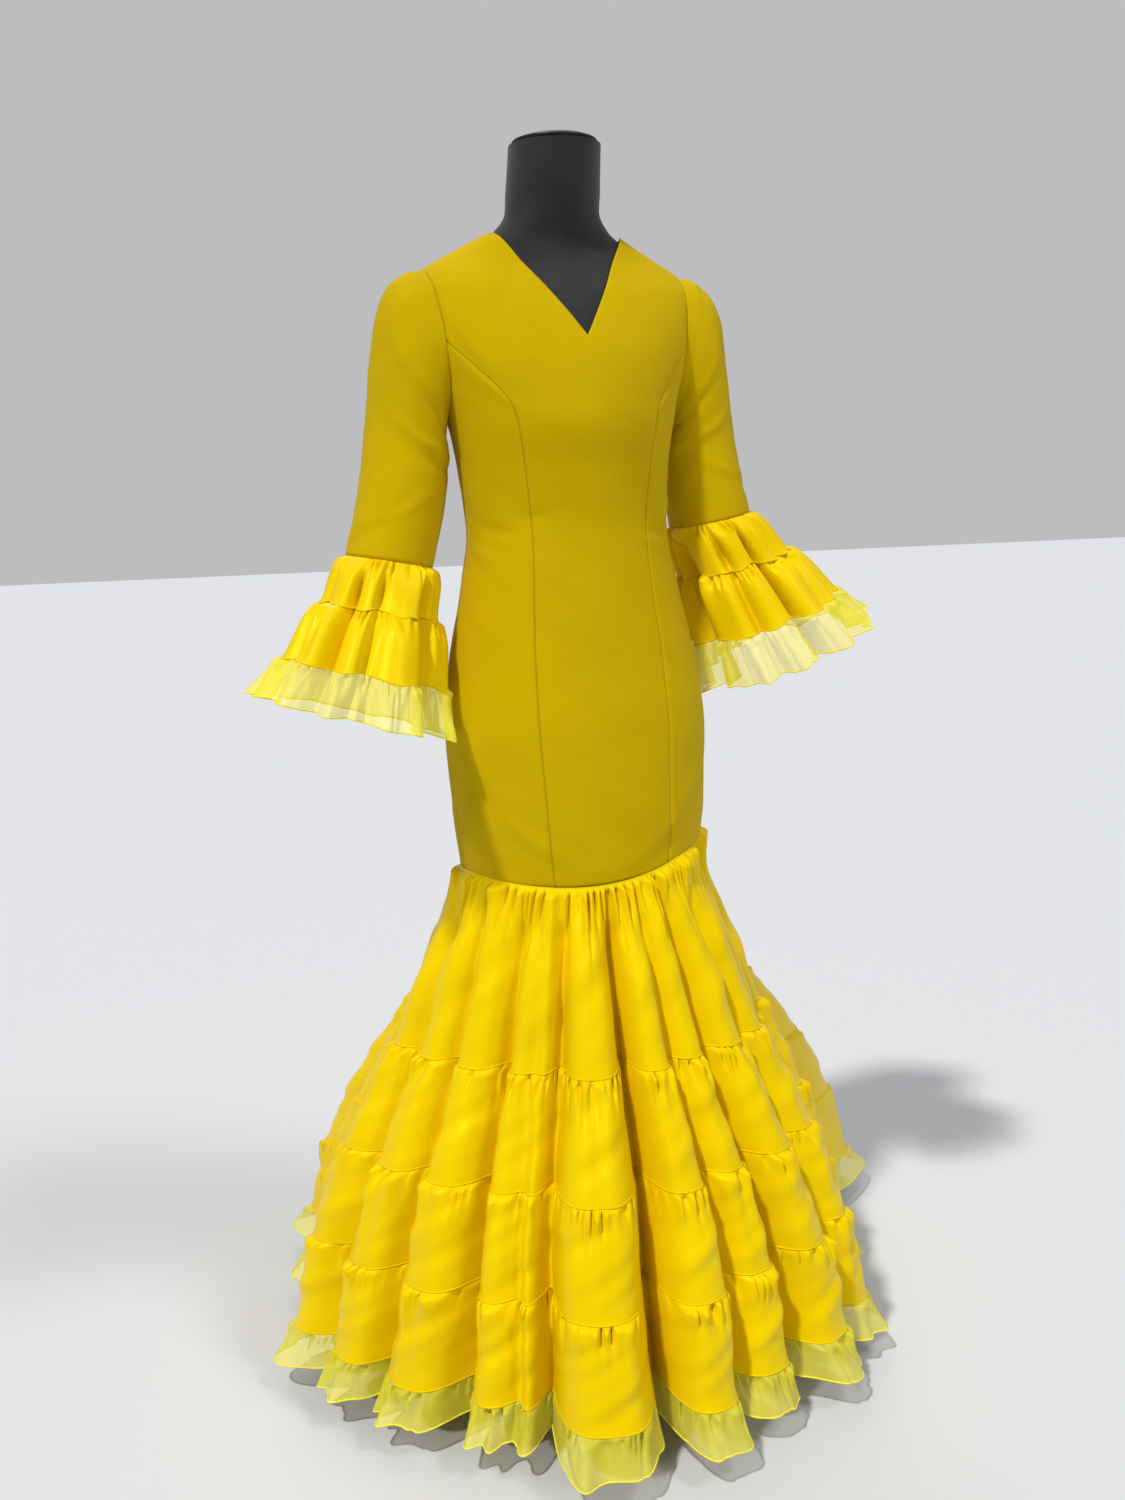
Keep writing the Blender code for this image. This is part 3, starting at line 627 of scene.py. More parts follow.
def crease_height(creases, across, z):
    """How far the creases raise the cloth: across is in metres round the body."""
    height = np.zeros_like(z)
    for crease, (middle_across, middle_z) in creases:
        slant = math.radians(crease.slant)
        right = across - middle_across
        up = z - middle_z
        down_line = right * math.cos(slant) + up * math.sin(slant)
        off_line = up * math.cos(slant) - right * math.sin(slant)
        off_line = off_line - CREASE_BOW * down_line**2
        falloff = np.exp(-((2.0 * down_line / crease.length) ** 2) - (off_line / crease.width) ** 2)
        height += crease.height * falloff
    return height


def body_creases(degrees, z):
    height = np.zeros_like(z)
    for crease in CREASES:
        turn = (degrees - crease.degrees + 180.0) % 360.0 - 180.0
        height += crease_height([(crease, (0.0, crease.z))], np.radians(turn) * BODY_RADIUS, z)
    return height + BODY_UNEVEN * wander(z * 9.0 + degrees / 70.0, 2.0)


def front_edge(z):
    princess = np.minimum(along(PRINCESS, "front", z), armhole_degrees(z))
    return np.where(z < PRINCESS_TOP_Z, princess, armhole_degrees(z))


def back_edge(z):
    princess = np.minimum(along(PRINCESS, "back", z), armhole_degrees(z))
    return 180.0 - np.where(z < PRINCESS_TOP_Z, princess, armhole_degrees(z))


def neck_edge(z):
    reach = NECK_HALF_WIDTH * np.clip((z - PRINCESS_TOP_Z) / (NECK_TOP_Z - PRINCESS_TOP_Z), 0.0, 1.0)
    return np.degrees(np.arcsin(np.clip(reach / along(BODY, "half_width", z), 0.0, 1.0)))


# %% Cut the panels
def make_panel(name, inner, outer, top_z, across, mirror, curls):
    """One panel between two seam lines. curls says which of its edges curl in."""
    split = (PRINCESS_TOP_Z - HIP_SEAM_Z) / (NECK_TOP_Z - HIP_SEAM_Z)
    rows_below = round(PANEL_DOWN * split) / PANEL_DOWN

    def place(u, v):
        if top_z > PRINCESS_TOP_Z:
            low = mix(HIP_SEAM_Z, PRINCESS_TOP_Z, np.minimum(v / rows_below, 1.0))
            level = low + (top_z - PRINCESS_TOP_Z) * np.maximum((v - rows_below) / (1.0 - rows_below), 0.0)
        else:
            level = mix(HIP_SEAM_Z, top_z, v)
        degrees = mirror * mix(inner(level), outer(level), u)
        fade = np.clip(1.0 - (level - HIP_SEAM_Z) / HIP_LIFT_FADE, 0.0, 1.0)
        z = level + (hip_seam_z(degrees) + HIP_SEAM_GAP - HIP_SEAM_Z) * fade
        points = body_points(degrees, z)
        width = np.radians(np.abs(outer(level) - inner(level))) * BODY_RADIUS
        out = body_creases(degrees, z)
        for edge, near in (("inner", u * width), ("outer", (1.0 - u) * width)):
            if edge in curls:
                out = out - SEAM_CURL_DEPTH * np.exp(-((near / SEAM_CURL_WIDTH) ** 2))
        out = out - HIP_CURL_DEPTH * np.exp(-(((level - HIP_SEAM_Z) / HIP_CURL_WIDTH) ** 2))
        return points + normals_of(body_points, degrees, z) * out[:, None]

    cut = (PANEL_UV_WIDTH, top_z - HIP_SEAM_Z)
    return cut_sheet(name, across, PANEL_DOWN, place, cut, flip=mirror < 0.0)


def make_fitted_body():
    gap = PANEL_GAP_DEGREES
    side_top = PRINCESS_TOP_Z - SIDE_PANEL_TOP_GAP
    halves = []
    for mirror, label in ((1.0, "left"), (-1.0, "right")):
        halves.append(
            make_panel(
                f"centre_front_{label}", neck_edge, lambda z: front_edge(z) - gap,
                NECK_TOP_Z, PANEL_ACROSS, mirror, ("outer",),
            )
        )
    panels = [(join_into(*halves), "centre_front")]
    panels[0][0].name = "centre_front_cloth"
    for side, mirror in (("l", 1.0), ("r", -1.0)):
        side_front = make_panel(
            f"side_front_{side}_cloth", lambda z: front_edge(z) + gap,
            lambda z: armhole_degrees(z) - gap, side_top, PANEL_ACROSS, mirror, ("inner", "outer"),
        )
        side_back = make_panel(
            f"side_back_{side}_cloth", lambda z: 180.0 - armhole_degrees(z) + gap,
            lambda z: back_edge(z) - gap, side_top, PANEL_ACROSS, mirror, ("inner", "outer"),
        )
        back = make_panel(
            f"back_{side}_cloth", lambda z: back_edge(z) + gap, lambda z: 180.0 - gap + 0.0 * z,
            NECK_TOP_Z, BACK_ACROSS, mirror, ("inner", "outer"),
        )
        panels.append((side_front, f"side_front_{side}"))
        panels.append((side_back, f"side_back_{side}"))
        panels.append((back, f"back_{side}"))
    for panel, node in panels:
        add_thickness(panel, CREPE_THICKNESS)
        finish_piece(panel, "crepe", CREPE, node)


make_fitted_body()
for node in ("back_zip", "zip_slider"):
    zip_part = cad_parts[node]
    zip_part.data.materials.clear()
    zip_part.data.materials.append(ZIP_COIL)

# %% [markdown]
# ## The sleeves
# A sleeve is one piece of crepe sewn into a tube and set into the armhole. Its rings turn from
# the upright plane of the armhole to nearly level at the cuff, so a straight sweep would fold
# over at the underarm. A table of each ring's top and underarm points avoids that. Drag lines
# fan out from the underarm, and a few soft rings sit at the elbow.

# %% Sleeve tables
Ring = namedtuple("Ring", "place top_x top_z under_x under_z half_depth middle_y")
SLEEVE = {
    "r": (
        Ring(1.0, 0.192, 1.394, 0.1530, 1.208, 0.054, 0.040),
        Ring(2.0, 0.215, 1.377, 0.1520, 1.196, 0.056, 0.042),
        Ring(3.0, 0.230, 1.343, 0.1500, 1.182, 0.056, 0.043),
        Ring(4.0, 0.239, 1.290, 0.1490, 1.165, 0.055, 0.045),
        Ring(5.0, 0.248, 1.225, 0.1500, 1.145, 0.054, 0.046),
        Ring(6.0, 0.261, 1.145, 0.1590, 1.105, 0.054, 0.041),
        Ring(7.0, 0.2850, 1.0560, 0.1780, 1.0360, 0.0545, 0.036),
    ),
    "l": (
        Ring(1.0, 0.192, 1.394, 0.1530, 1.208, 0.054, 0.040),
        Ring(2.0, 0.215, 1.377, 0.1520, 1.197, 0.056, 0.041),
        Ring(3.0, 0.230, 1.345, 0.1500, 1.184, 0.056, 0.042),
        Ring(4.0, 0.238, 1.295, 0.1490, 1.170, 0.055, 0.043),
        Ring(5.0, 0.245, 1.235, 0.1500, 1.155, 0.054, 0.044),
        Ring(6.0, 0.254, 1.165, 0.1550, 1.125, 0.054, 0.040),
        Ring(7.0, 0.2680, 1.0950, 0.1610, 1.0750, 0.0545, 0.036),
    ),
}
SIDE_SIGN = {"r": -1.0, "l": 1.0}
SLEEVE_TUCK = 0.0016
SLEEVE_TUCK_ROWS = 0.06
SLEEVE_AROUND = 0.34
SLEEVE_UV_LENGTH = 0.36
SLEEVE_ACROSS = 96
SLEEVE_DOWN = 120
SLEEVE_UNEVEN = 0.0006
CUFF_SEAM_ROW = 7.0

# Creases on a sleeve: metres round from its outer line towards the back, and height.
SLEEVE_CREASES = {
    "r": (
        Crease(-0.115, 1.215, 0.120, 0.007, 38.0, -0.0030),
        Crease(-0.100, 1.185, 0.110, 0.007, 26.0, 0.0026),
        Crease(-0.120, 1.160, 0.090, 0.006, 14.0, -0.0022),
        Crease(-0.050, 1.300, 0.100, 0.009, 66.0, 0.0022),
        Crease(-0.025, 1.240, 0.110, 0.010, 80.0, -0.0016),
        Crease(-0.070, 1.105, 0.080, 0.007, -22.0, 0.0020),
        Crease(-0.040, 1.085, 0.090, 0.008, -34.0, -0.0020),
        Crease(0.110, 1.200, 0.110, 0.007, -34.0, -0.0028),
        Crease(0.095, 1.165, 0.100, 0.007, -20.0, 0.0024),
        Crease(0.060, 1.110, 0.090, 0.008, 25.0, -0.0022),
        Crease(0.030, 1.270, 0.100, 0.009, -70.0, 0.0018),
    ),
    "l": (
        Crease(-0.112, 1.225, 0.115, 0.007, 36.0, -0.0030),
        Crease(-0.098, 1.195, 0.100, 0.007, 24.0, 0.0024),
        Crease(-0.060, 1.300, 0.110, 0.009, 68.0, 0.0020),
        Crease(-0.020, 1.215, 0.100, 0.009, 84.0, -0.0015),
        Crease(-0.075, 1.150, 0.080, 0.007, -18.0, 0.0018),
        Crease(-0.035, 1.130, 0.085, 0.008, -32.0, -0.0018),
        Crease(0.112, 1.205, 0.110, 0.007, -36.0, -0.0028),
        Crease(0.090, 1.175, 0.095, 0.007, -18.0, 0.0022),
        Crease(0.035, 1.290, 0.100, 0.009, -72.0, 0.0018),
    ),
}


def armhole_points(turn, side):
    middle_z = (UNDERARM[1] + SHOULDER_POINT[1]) / 2.0
    z = middle_z + (SHOULDER_POINT[1] - UNDERARM[1]) / 2.0 * np.cos(turn)
    opening = np.cos(np.radians(armhole_degrees(z)))
    front = np.sin(turn) < 0.0
    depth = np.where(front, -along(BODY, "front", z), along(BODY, "back", z))
    y = along(BODY, "middle_y", z) + depth * opening
    return np.stack([SIDE_SIGN[side] * armhole_x(z), y, z], axis=-1)


def sleeve_points(turn, row, side):
    """Row 0 is the armhole and row 7 the cuff seam."""
    rings = SLEEVE[side]
    top_x, top_z, under_x, under_z, half_depth, middle_y = (
        along(rings, column, np.maximum(row, 1.0)) for column in Ring._fields[1:]
    )
    cosine = np.cos(turn)
    x = (top_x + under_x) / 2.0 + (top_x - under_x) / 2.0 * cosine
    z = (top_z + under_z) / 2.0 + (top_z - under_z) / 2.0 * cosine
    y = middle_y + half_depth * np.sin(turn)
    loft = np.stack([SIDE_SIGN[side] * x, y, z], axis=-1)
    share = np.clip(row, 0.0, 1.0)[:, None]
    return armhole_points(turn, side) * (1.0 - share) + loft * share


def tube_normals(tube, turn, row, step):
    """Normals of a tube that always point away from its ring's middle."""
    normal = normals_of(tube, turn, row, 10.0, step)
    middle = sum(tube(turn * 0.0 + quarter * math.pi / 2.0, row) for quarter in range(4)) / 4.0
    facing = np.sum(normal * (tube(turn, row) - middle), axis=-1, keepdims=True)
    return np.where(facing < 0.0, -normal, normal)


def make_sleeve(side):
    def tube(turn, row):
        return sleeve_points(turn, row, side)

    def place(u, v):
        turn = 2.0 * np.pi * u
        row = CUFF_SEAM_ROW * (1.0 - v)
        points = tube(turn, row)
        around = (u - np.round(u)) * SLEEVE_AROUND
        placed = [(crease, (crease.degrees, crease.z)) for crease in SLEEVE_CREASES[side]]
        out = crease_height(placed, around, points[:, 2])
        tucked = 1.0 - ease(row / SLEEVE_TUCK_ROWS)
        points[:, 0] -= SIDE_SIGN[side] * SLEEVE_TUCK * tucked
        out = out - SLEEVE_TUCK * tucked
        out = out - 0.4 * SEAM_CURL_DEPTH * np.exp(-(((CUFF_SEAM_ROW - row) / SLEEVE_TUCK_ROWS) ** 2))
        uneven = SLEEVE_UNEVEN * wander(points[:, 2] * 8.0 + 0.7 * np.sin(turn), 4.0)
        out = out + uneven * ease(row) * ease(CUFF_SEAM_ROW - row)
        return points + tube_normals(tube, turn, row, 10.0) * out[:, None]

    cut = (SLEEVE_AROUND, SLEEVE_UV_LENGTH)
    sleeve = cut_sheet(f"sleeve_{side}_cloth", SLEEVE_ACROSS, SLEEVE_DOWN, place, cut, flip=side == "l")
    add_thickness(sleeve, CREPE_THICKNESS)
    return finish_piece(sleeve, "crepe", CREPE, f"sleeve_{side}")


for side in SIDE_SIGN:
    make_sleeve(side)

# %% [markdown]
# ## Gathers
# To gather a tier, a maker runs a thread along its top edge and pulls the extra length up
# small. Right below the seam the cloth stands in tight little pleats. A few centimetres down
# they join into softer, wider ones. The cloth simulation could find such pleats, but needs a
# very fine mesh. Two sets of waves do it: short ones that die away quickly and longer ones that
# reach further down, both with uneven spacing.

# %% Gather heights
SOFT_PLEAT = 0.0045
SOFT_PLEAT_REACH = 0.075
GATHER_START = 0.006


def gathers(run, below, seed, short, long, height, reach):
    """How far gathers raise the cloth: run is metres along the seam, below is metres under it."""
    uneven = run / short + 1.3 * wander(run / 0.083, seed)
    tight = np.abs(np.sin(np.pi * uneven)) - 0.6
    strength = 0.85 + 0.5 * wander(run / 0.061, seed + 3.0)
    wide = run / long + 0.9 * wander(run / 0.23, seed + 5.0)
    soft = np.sin(2.0 * np.pi * wide) * (0.8 + 0.5 * wander(run / 0.11, seed + 7.0))
    rise = ease(below / GATHER_START)
    uneven_reach = reach * (0.75 + 0.8 * np.abs(wander(run / 0.047, seed + 9.0)))
    fade = np.exp(-((np.maximum(below, 0.0) / uneven_reach) ** 1.6))
    slow = np.exp(-np.maximum(below, 0.0) / SOFT_PLEAT_REACH)
    return rise * (height * tight * strength * fade + SOFT_PLEAT * soft * slow)


def pits(run, seed, spacing, width):
    """Narrow deep folds between wide lobes: one near every spacing metres of run."""
    phase = run / spacing + 0.30 * wander(run / (2.3 * spacing), seed)
    away = (phase - np.round(phase)) * spacing
    depth = 0.75 + 0.4 * wander(run / (1.7 * spacing), seed + 2.0)
    return depth * np.exp(-((away / width) ** 2))


def wrapped(turn):
    """The same direction between minus and plus half a turn, counted from the far seam."""
    return (turn + np.pi) % (2.0 * np.pi) - np.pi


def off_the_join(turn):
    """Zero on the strip's own join and one elsewhere, so that the two ends meet exactly."""
    return ease((np.pi - np.abs(wrapped(turn))) / 0.03)


SEAM_TUCK = 0.0035
SEAM_TUCK_DEPTH = 0.0024


def tucked_in(below):
    """The strip's top edge lies just under the piece that it hangs from."""
    return -SEAM_TUCK_DEPTH * (1.0 - ease((below + 0.001) / 0.003))


# %% [markdown]
# ## Frilled cuffs
# Below the elbow each sleeve has two gathered satin tiers and a sheer ruffle. Each is a flat
# strip, gathered on to the piece above and joined into a ring. The rings widen down the arm,
# and their plane tips up on the outer side as the frill stands away.

# %% Cuff tables
Flare = namedtuple("Flare", "share radius wave")
CUFF = (
    Flare(0.00, 0.0545, 0.0004),
    Flare(0.10, 0.0640, 0.0020),
    Flare(0.33, 0.0735, 0.0040),
    Flare(0.43, 0.0850, 0.0050),
    Flare(0.73, 0.1020, 0.0070),
    Flare(1.00, 0.1240, 0.0100),
)
CUFF_PIECES = (("cuff_tier1", 0.00, 0.33), ("cuff_tier2", 0.33, 0.73), ("cuff_ruffle", 0.73, 1.00))
Rim = namedtuple("Rim", "x y z tip_degrees")
CUFF_RIM = {"r": Rim(0.300, -0.020, 0.865, 16.0), "l": Rim(0.300, -0.005, 0.908, 22.0)}
CUFF_LENGTH = 0.215
CUFF_WAVES = 9.0
JOIN_SHARE = 1.0 - 1e-7
EDGE_RADIUS = 0.0011
SEAM_RIDGE_RADIUS = 0.0012
CUFF_UNEVEN = 0.022


def cuff_points(turn, share, side, lift=0.0):
    ring = SLEEVE[side][-1]
    rim = CUFF_RIM[side]
    sign = SIDE_SIGN[side]
    share = share + CUFF_UNEVEN * wander(1.1 * turn, 2.0 + sign) * np.sin(np.pi * np.clip(share, 0.0, 0.8))
    middle_x = (ring.top_x + ring.under_x) / 2.0
    start = np.array([sign * middle_x, ring.middle_y, (ring.top_z + ring.under_z) / 2.0])
    end = np.array([sign * rim.x, rim.y, rim.z])
    start_tip = math.atan2(ring.top_z - ring.under_z, ring.top_x - ring.under_x)
    tip = mix(start_tip, math.radians(rim.tip_degrees), share)
    uneven = turn + 0.16 * np.sin(2.0 * turn + 1.0) + 0.10 * np.sin(3.0 * turn + 4.0)
    wave = np.abs(np.cos(CUFF_WAVES * uneven / 2.0 + sign / 2.0)) ** 1.2 * 2.0 - 1.1
    radius = along(CUFF, "radius", share) + along(CUFF, "wave", share) * wave + lift
    across = radius * np.cos(turn)
    x = mix(start[0], end[0], share) + sign * np.cos(tip) * across
    y = mix(start[1], end[1], share) + radius * np.sin(turn)
    z = mix(start[2], end[2], share) + np.sin(tip) * across
    return np.stack([x, y, z], axis=-1)


def ruffle_wave(run, down, seed, length, height):
    """Soft standing waves of a crisp ruffle, which open towards its free edge."""
    phase = run / length + 0.8 * wander(run / 0.21, seed)
    return np.sin(2.0 * np.pi * phase) * height * ease(down) * (0.75 + 0.35 * wander(run / 0.13, seed + 2.0))


# %% Sew the cuffs
CRISP_FOLD = 0.0045
CUFF_COLUMNS = 640
CUFF_PIT_DEPTH = 0.030
CUFF_PIT_SPACING = 0.0400
CUFF_PIT_WIDTH = 0.0060
CUFF_ROWS = 26
CUFF_GATHER = (0.0130, 0.044, 0.0150, 0.012)
RUFFLE_HEIGHT = 0.0110


def cuff_surface(piece, start, end, side):
    """Returns place(turn, down) of one cuff piece, with its gathers and waves."""
    seed = 11.0 * SIDE_SIGN[side] + 20.0 * start

    def surface(turn, down):
        turn = wrapped(turn)
        share = mix(start - SEAM_TUCK / CUFF_LENGTH, end, down)
        run = turn * float(along(CUFF, "radius", np.array([start]))[0])
        below = (share - start) * CUFF_LENGTH
        down = np.clip((share - start) / (end - start), 0.0, 1.0)
        lift = gathers(run, below, seed, *CUFF_GATHER)
        deep = CUFF_PIT_DEPTH * ease(share / 0.25) * (1.0 - 0.35 * np.exp(-np.abs(share - 0.33) / 0.03))
        along_seam = turn * CUFF[0].radius
        lift = lift - deep * pits(along_seam, 4.0 + SIDE_SIGN[side], CUFF_PIT_SPACING, CUFF_PIT_WIDTH)
        if piece == "cuff_ruffle":
            lift = lift + ruffle_wave(run, down, seed, 0.046, RUFFLE_HEIGHT)
            lift = lift - CRISP_FOLD * pits(run, seed, 0.025, 0.0030) * ease(down / 0.3)
        lift = lift * off_the_join(turn) + 0.0030 * np.sin(np.pi * down**0.5) + tucked_in(below)
        return cuff_points(turn, share, side, lift)

    return surface


def ring_tube(name, line, radius, slot, finish, along_steps, sides=4):
    """A closed thread along line(turn), made from a flat strip that is rolled round it."""
    def place(u, v):
        turn = 2.0 * np.pi * u
        middle = line(turn)
        ahead = line(turn + 0.002) - line(turn - 0.002)
        ahead /= np.linalg.norm(ahead, axis=-1, keepdims=True)
        side_way = np.cross(ahead, np.array([0.0, 0.0, 1.0]))
        side_way /= np.linalg.norm(side_way, axis=-1, keepdims=True)
        up = np.cross(side_way, ahead)
        roll = 2.0 * np.pi * v[:, None]
        return middle + radius * (side_way * np.cos(roll) + up * np.sin(roll))

    tube = cut_sheet(name, along_steps, sides, place, (1.0, 0.01))
    fixed = bmesh.new()
    fixed.from_mesh(tube.data)
    bmesh.ops.recalc_face_normals(fixed, faces=fixed.faces)
    fixed.to_mesh(tube.data)
    fixed.free()
    return finish_piece(tube, slot, finish)


def make_cuff(side):
    for piece, start, end in CUFF_PIECES:
        surface = cuff_surface(piece, start, end, side)

        def place(u, v, surface=surface):
            return surface(2.0 * np.pi * (u - 0.5) * JOIN_SHARE, 1.0 - v)

        length = (end - start) * CUFF_LENGTH
        girth = 2.0 * math.pi * CUFF[-1].radius
        cut = (girth, length)
        cloth = cut_sheet(f"{piece}_{side}_cloth", CUFF_COLUMNS, CUFF_ROWS, place, cut, flip=side == "l")
        slot, finish = ("organza", ORGANZA) if piece == "cuff_ruffle" else ("satin", SATIN)
        finish_piece(cloth, slot, finish, f"{piece}_{side}")

        def free_edge(turn, surface=surface):
            return surface(turn, turn * 0.0 + 1.0)

        if piece == "cuff_ruffle":
            name = f"cuff_ruffle_{side}_rolled_edge"
            ring_tube(name, free_edge, EDGE_RADIUS, "organza", THREAD, CUFF_COLUMNS)
        else:
            name = f"{piece}_{side}_seam_ridge"
            ring_tube(name, free_edge, SEAM_RIDGE_RADIUS, "satin", SATIN, CUFF_COLUMNS)


for side in SIDE_SIGN:
    make_cuff(side)

# %% [markdown]
# ## The tiered skirt
# Four satin tiers hang from the hip seam, each cut longer than the edge that it is gathered on
# to, so the skirt opens like a bell and falls in deep flutes. A row of the table gives one
# valley: its direction, depth and width, how far it leans over, how soon it grows down the
# skirt, and how far the flute after it reaches at the hem. The flutes between are rounded.

# %% Skirt tables
Spread = namedtuple("Spread", "z share")
SKIRT_SPREAD = (
    Spread(0.690, 0.00),
    Spread(0.640, 0.02),
    Spread(0.600, 0.09),
    Spread(0.535, 0.22),
    Spread(0.435, 0.375),
    Spread(0.310, 0.63),
    Spread(0.195, 0.80),
    Spread(0.080, 0.91),
    Spread(0.038, 1.00),
)
SKIRT_PIECES = (
    ("skirt_tier1", 0.640, 0.435, 38),
    ("skirt_tier2", 0.435, 0.310, 26),
    ("skirt_tier3", 0.310, 0.195, 26),
    ("skirt_tier4", 0.195, 0.080, 26),
    ("hem_ruffle", 0.080, 0.038, 18),
)
Fold = namedtuple("Fold", "angle depth width lean growth reach")
FOLDS = (
    Fold(-84.0, 0.050, 3.6, 0.6, 0.80, 0.410),
    Fold(-68.0, 0.060, 3.6, -1.0, 0.70, 0.395),
    Fold(-51.0, 0.075, 3.8, 1.0, 0.60, 0.385),
    Fold(-39.0, 0.040, 2.9, 0.5, 1.30, 0.400),
    Fold(-31.0, 0.080, 3.6, -1.2, 0.60, 0.427),
    Fold(-9.0, 0.125, 4.3, 1.4, 0.60, 0.408),
    Fold(9.0, 0.064, 3.6, -1.0, 0.70, 0.375),
    Fold(25.0, 0.084, 3.8, 0.8, 0.60, 0.390),
    Fold(43.0, 0.060, 3.6, -0.9, 0.75, 0.394),
    Fold(59.0, 0.056, 3.4, 0.7, 0.80, 0.362),
    Fold(73.0, 0.056, 3.6, -0.6, 0.80, 0.392),
    Fold(88.0, 0.070, 3.8, 1.0, 0.70, 0.415),
    Fold(103.0, 0.100, 4.3, -1.2, 0.70, 0.600),
    Fold(119.0, 0.090, 3.8, 0.9, 0.70, 0.560),
    Fold(135.0, 0.075, 3.6, -0.7, 0.70, 0.520),
    Fold(151.0, 0.085, 4.1, 1.1, 0.65, 0.516),
    Fold(166.0, 0.070, 3.6, -0.8, 0.75, 0.498),
    Fold(181.0, 0.090, 4.1, 1.2, 0.60, 0.506),
    Fold(199.0, 0.075, 3.6, -0.9, 0.70, 0.500),
    Fold(214.0, 0.080, 3.8, 0.8, 0.65, 0.505),
    Fold(229.0, 0.065, 3.6, -1.0, 0.75, 0.430),
    Fold(245.0, 0.060, 3.6, 0.9, 0.70, 0.386),
    Fold(261.0, 0.052, 3.4, -0.6, 0.80, 0.436),
)
SKIRT_COLUMNS = 1200
SKIRT_UV_WIDTH = 3.4
SLANT_SHARE = 1.08
HEM_LENGTH = 0.058
SKIRT_DRAPE = 0.016
HIP_GATHER = (0.0210, 0.052, 0.0190, 0.040)
TIER_GATHER = (0.0145, 0.052, 0.0220, 0.0170)
TIER_PUFF = 0.0045
RUFFLE_PUFF = 0.002
PINCH = 0.45
PINCH_WIDTH = 1.6
FOLD_START = 0.05


def hip_start(degrees, z):
    turn = np.radians(degrees)
    depth = np.where(np.cos(turn) > 0.0, along(BODY, "front", z), along(BODY, "back", z))
    across = np.sin(turn) / along(BODY, "half_width", z)
    ahead = np.cos(turn) / depth
    return 1.0 / np.hypot(across, ahead), hip_seam_z(np.degrees(np.arctan2(across, ahead)))


def flute_reach(degrees):
    """How far the flutes reach at the hem in each direction."""
    angles = np.array([fold.angle for fold in FOLDS])
    middles = (angles + np.append(angles[1:], angles[0] + 360.0)) / 2.0
    reaches = np.array([fold.reach for fold in FOLDS])
    around = middles[0] + (degrees - middles[0]) % 360.0
    index = np.clip(np.searchsorted(middles, around, side="right") - 1, 0, len(FOLDS) - 1)
    after = (index + 1) % len(FOLDS)
    span = (middles[after] - middles[index]) % 360.0
    return mix(reaches[index], reaches[after], ease((around - middles[index]) / span))


def skirt_points(degrees, z, lift):
    """Point of the skirt at a level, lift metres outside its plain fold surface."""
    spread = along(SKIRT_SPREAD, "share", z)
    turn = np.radians(degrees)
    drift = 0.7 * np.sin(z * 15.0 + 5.0 * turn) + 0.2 * np.sin(z * 31.0 - 11.0 * turn)
    start, seam_z = hip_start(degrees, z)
    opened = np.clip((seam_z - z) / FOLD_START, 0.0, 1.0)
    radius = mix(start, flute_reach(degrees), spread) + lift
    shift = 0.0 * degrees
    for fold in FOLDS:
        away = (degrees + drift * spread - fold.angle + 180.0) % 360.0 - 180.0
        grown = opened * np.maximum(spread, 0.0) ** fold.growth
        pit = np.exp(-((away / fold.width) ** 2))
        radius = radius - fold.depth * grown * pit
        squeezed = PINCH * away * np.exp(-((away / (PINCH_WIDTH * fold.width)) ** 2))
        shift = shift + (fold.lean * pit - squeezed) * grown
    turn = np.radians(degrees + shift)
    return np.stack([radius * np.sin(turn), -radius * np.cos(turn), z], axis=-1)


# %% Sew the skirt
def tier_surface(name, top, bottom):
    """Returns place(turn, down) for one tier, with its gathers, swell and hem waves."""
    seed = 40.0 * bottom
    ruffle = name == "hem_ruffle"
    seam_radius = 0.16 + 0.26 * float(along(SKIRT_SPREAD, "share", np.array([top]))[0])

    def surface(turn, down):
        turn = wrapped(turn)
        degrees = np.degrees(turn)
        high = hip_start(degrees, top + 0.0 * degrees)[1] + 0.0008 if top == HIP_SEAM_Z else top
        z = mix(high + SEAM_TUCK, bottom, down)
        below = high - z
        down = np.clip(below / (high - bottom), 0.0, 1.0)
        run = turn * seam_radius
        lift = gathers(run, below, seed, *(HIP_GATHER if top == HIP_SEAM_Z else TIER_GATHER))
        if ruffle:
            lift = lift + ruffle_wave(run, down, seed, 0.060, RUFFLE_HEIGHT)
            lift = lift - CRISP_FOLD * pits(run, seed, 0.036, 0.0040) * ease(down / 0.3)
            z = z + 0.0030 * wander(run / 0.10, seed) * ease(down) * off_the_join(turn)
        else:
            lift = lift + SKIRT_DRAPE * wander(run / 0.120 + 1.4 * down, seed + 4.0) * down * (1.0 - down)
        puff = RUFFLE_PUFF if ruffle else TIER_PUFF
        lift = lift * off_the_join(turn) + puff * np.sin(np.pi * down**0.4) + tucked_in(below)
        return skirt_points(degrees, z, lift)

    return surface


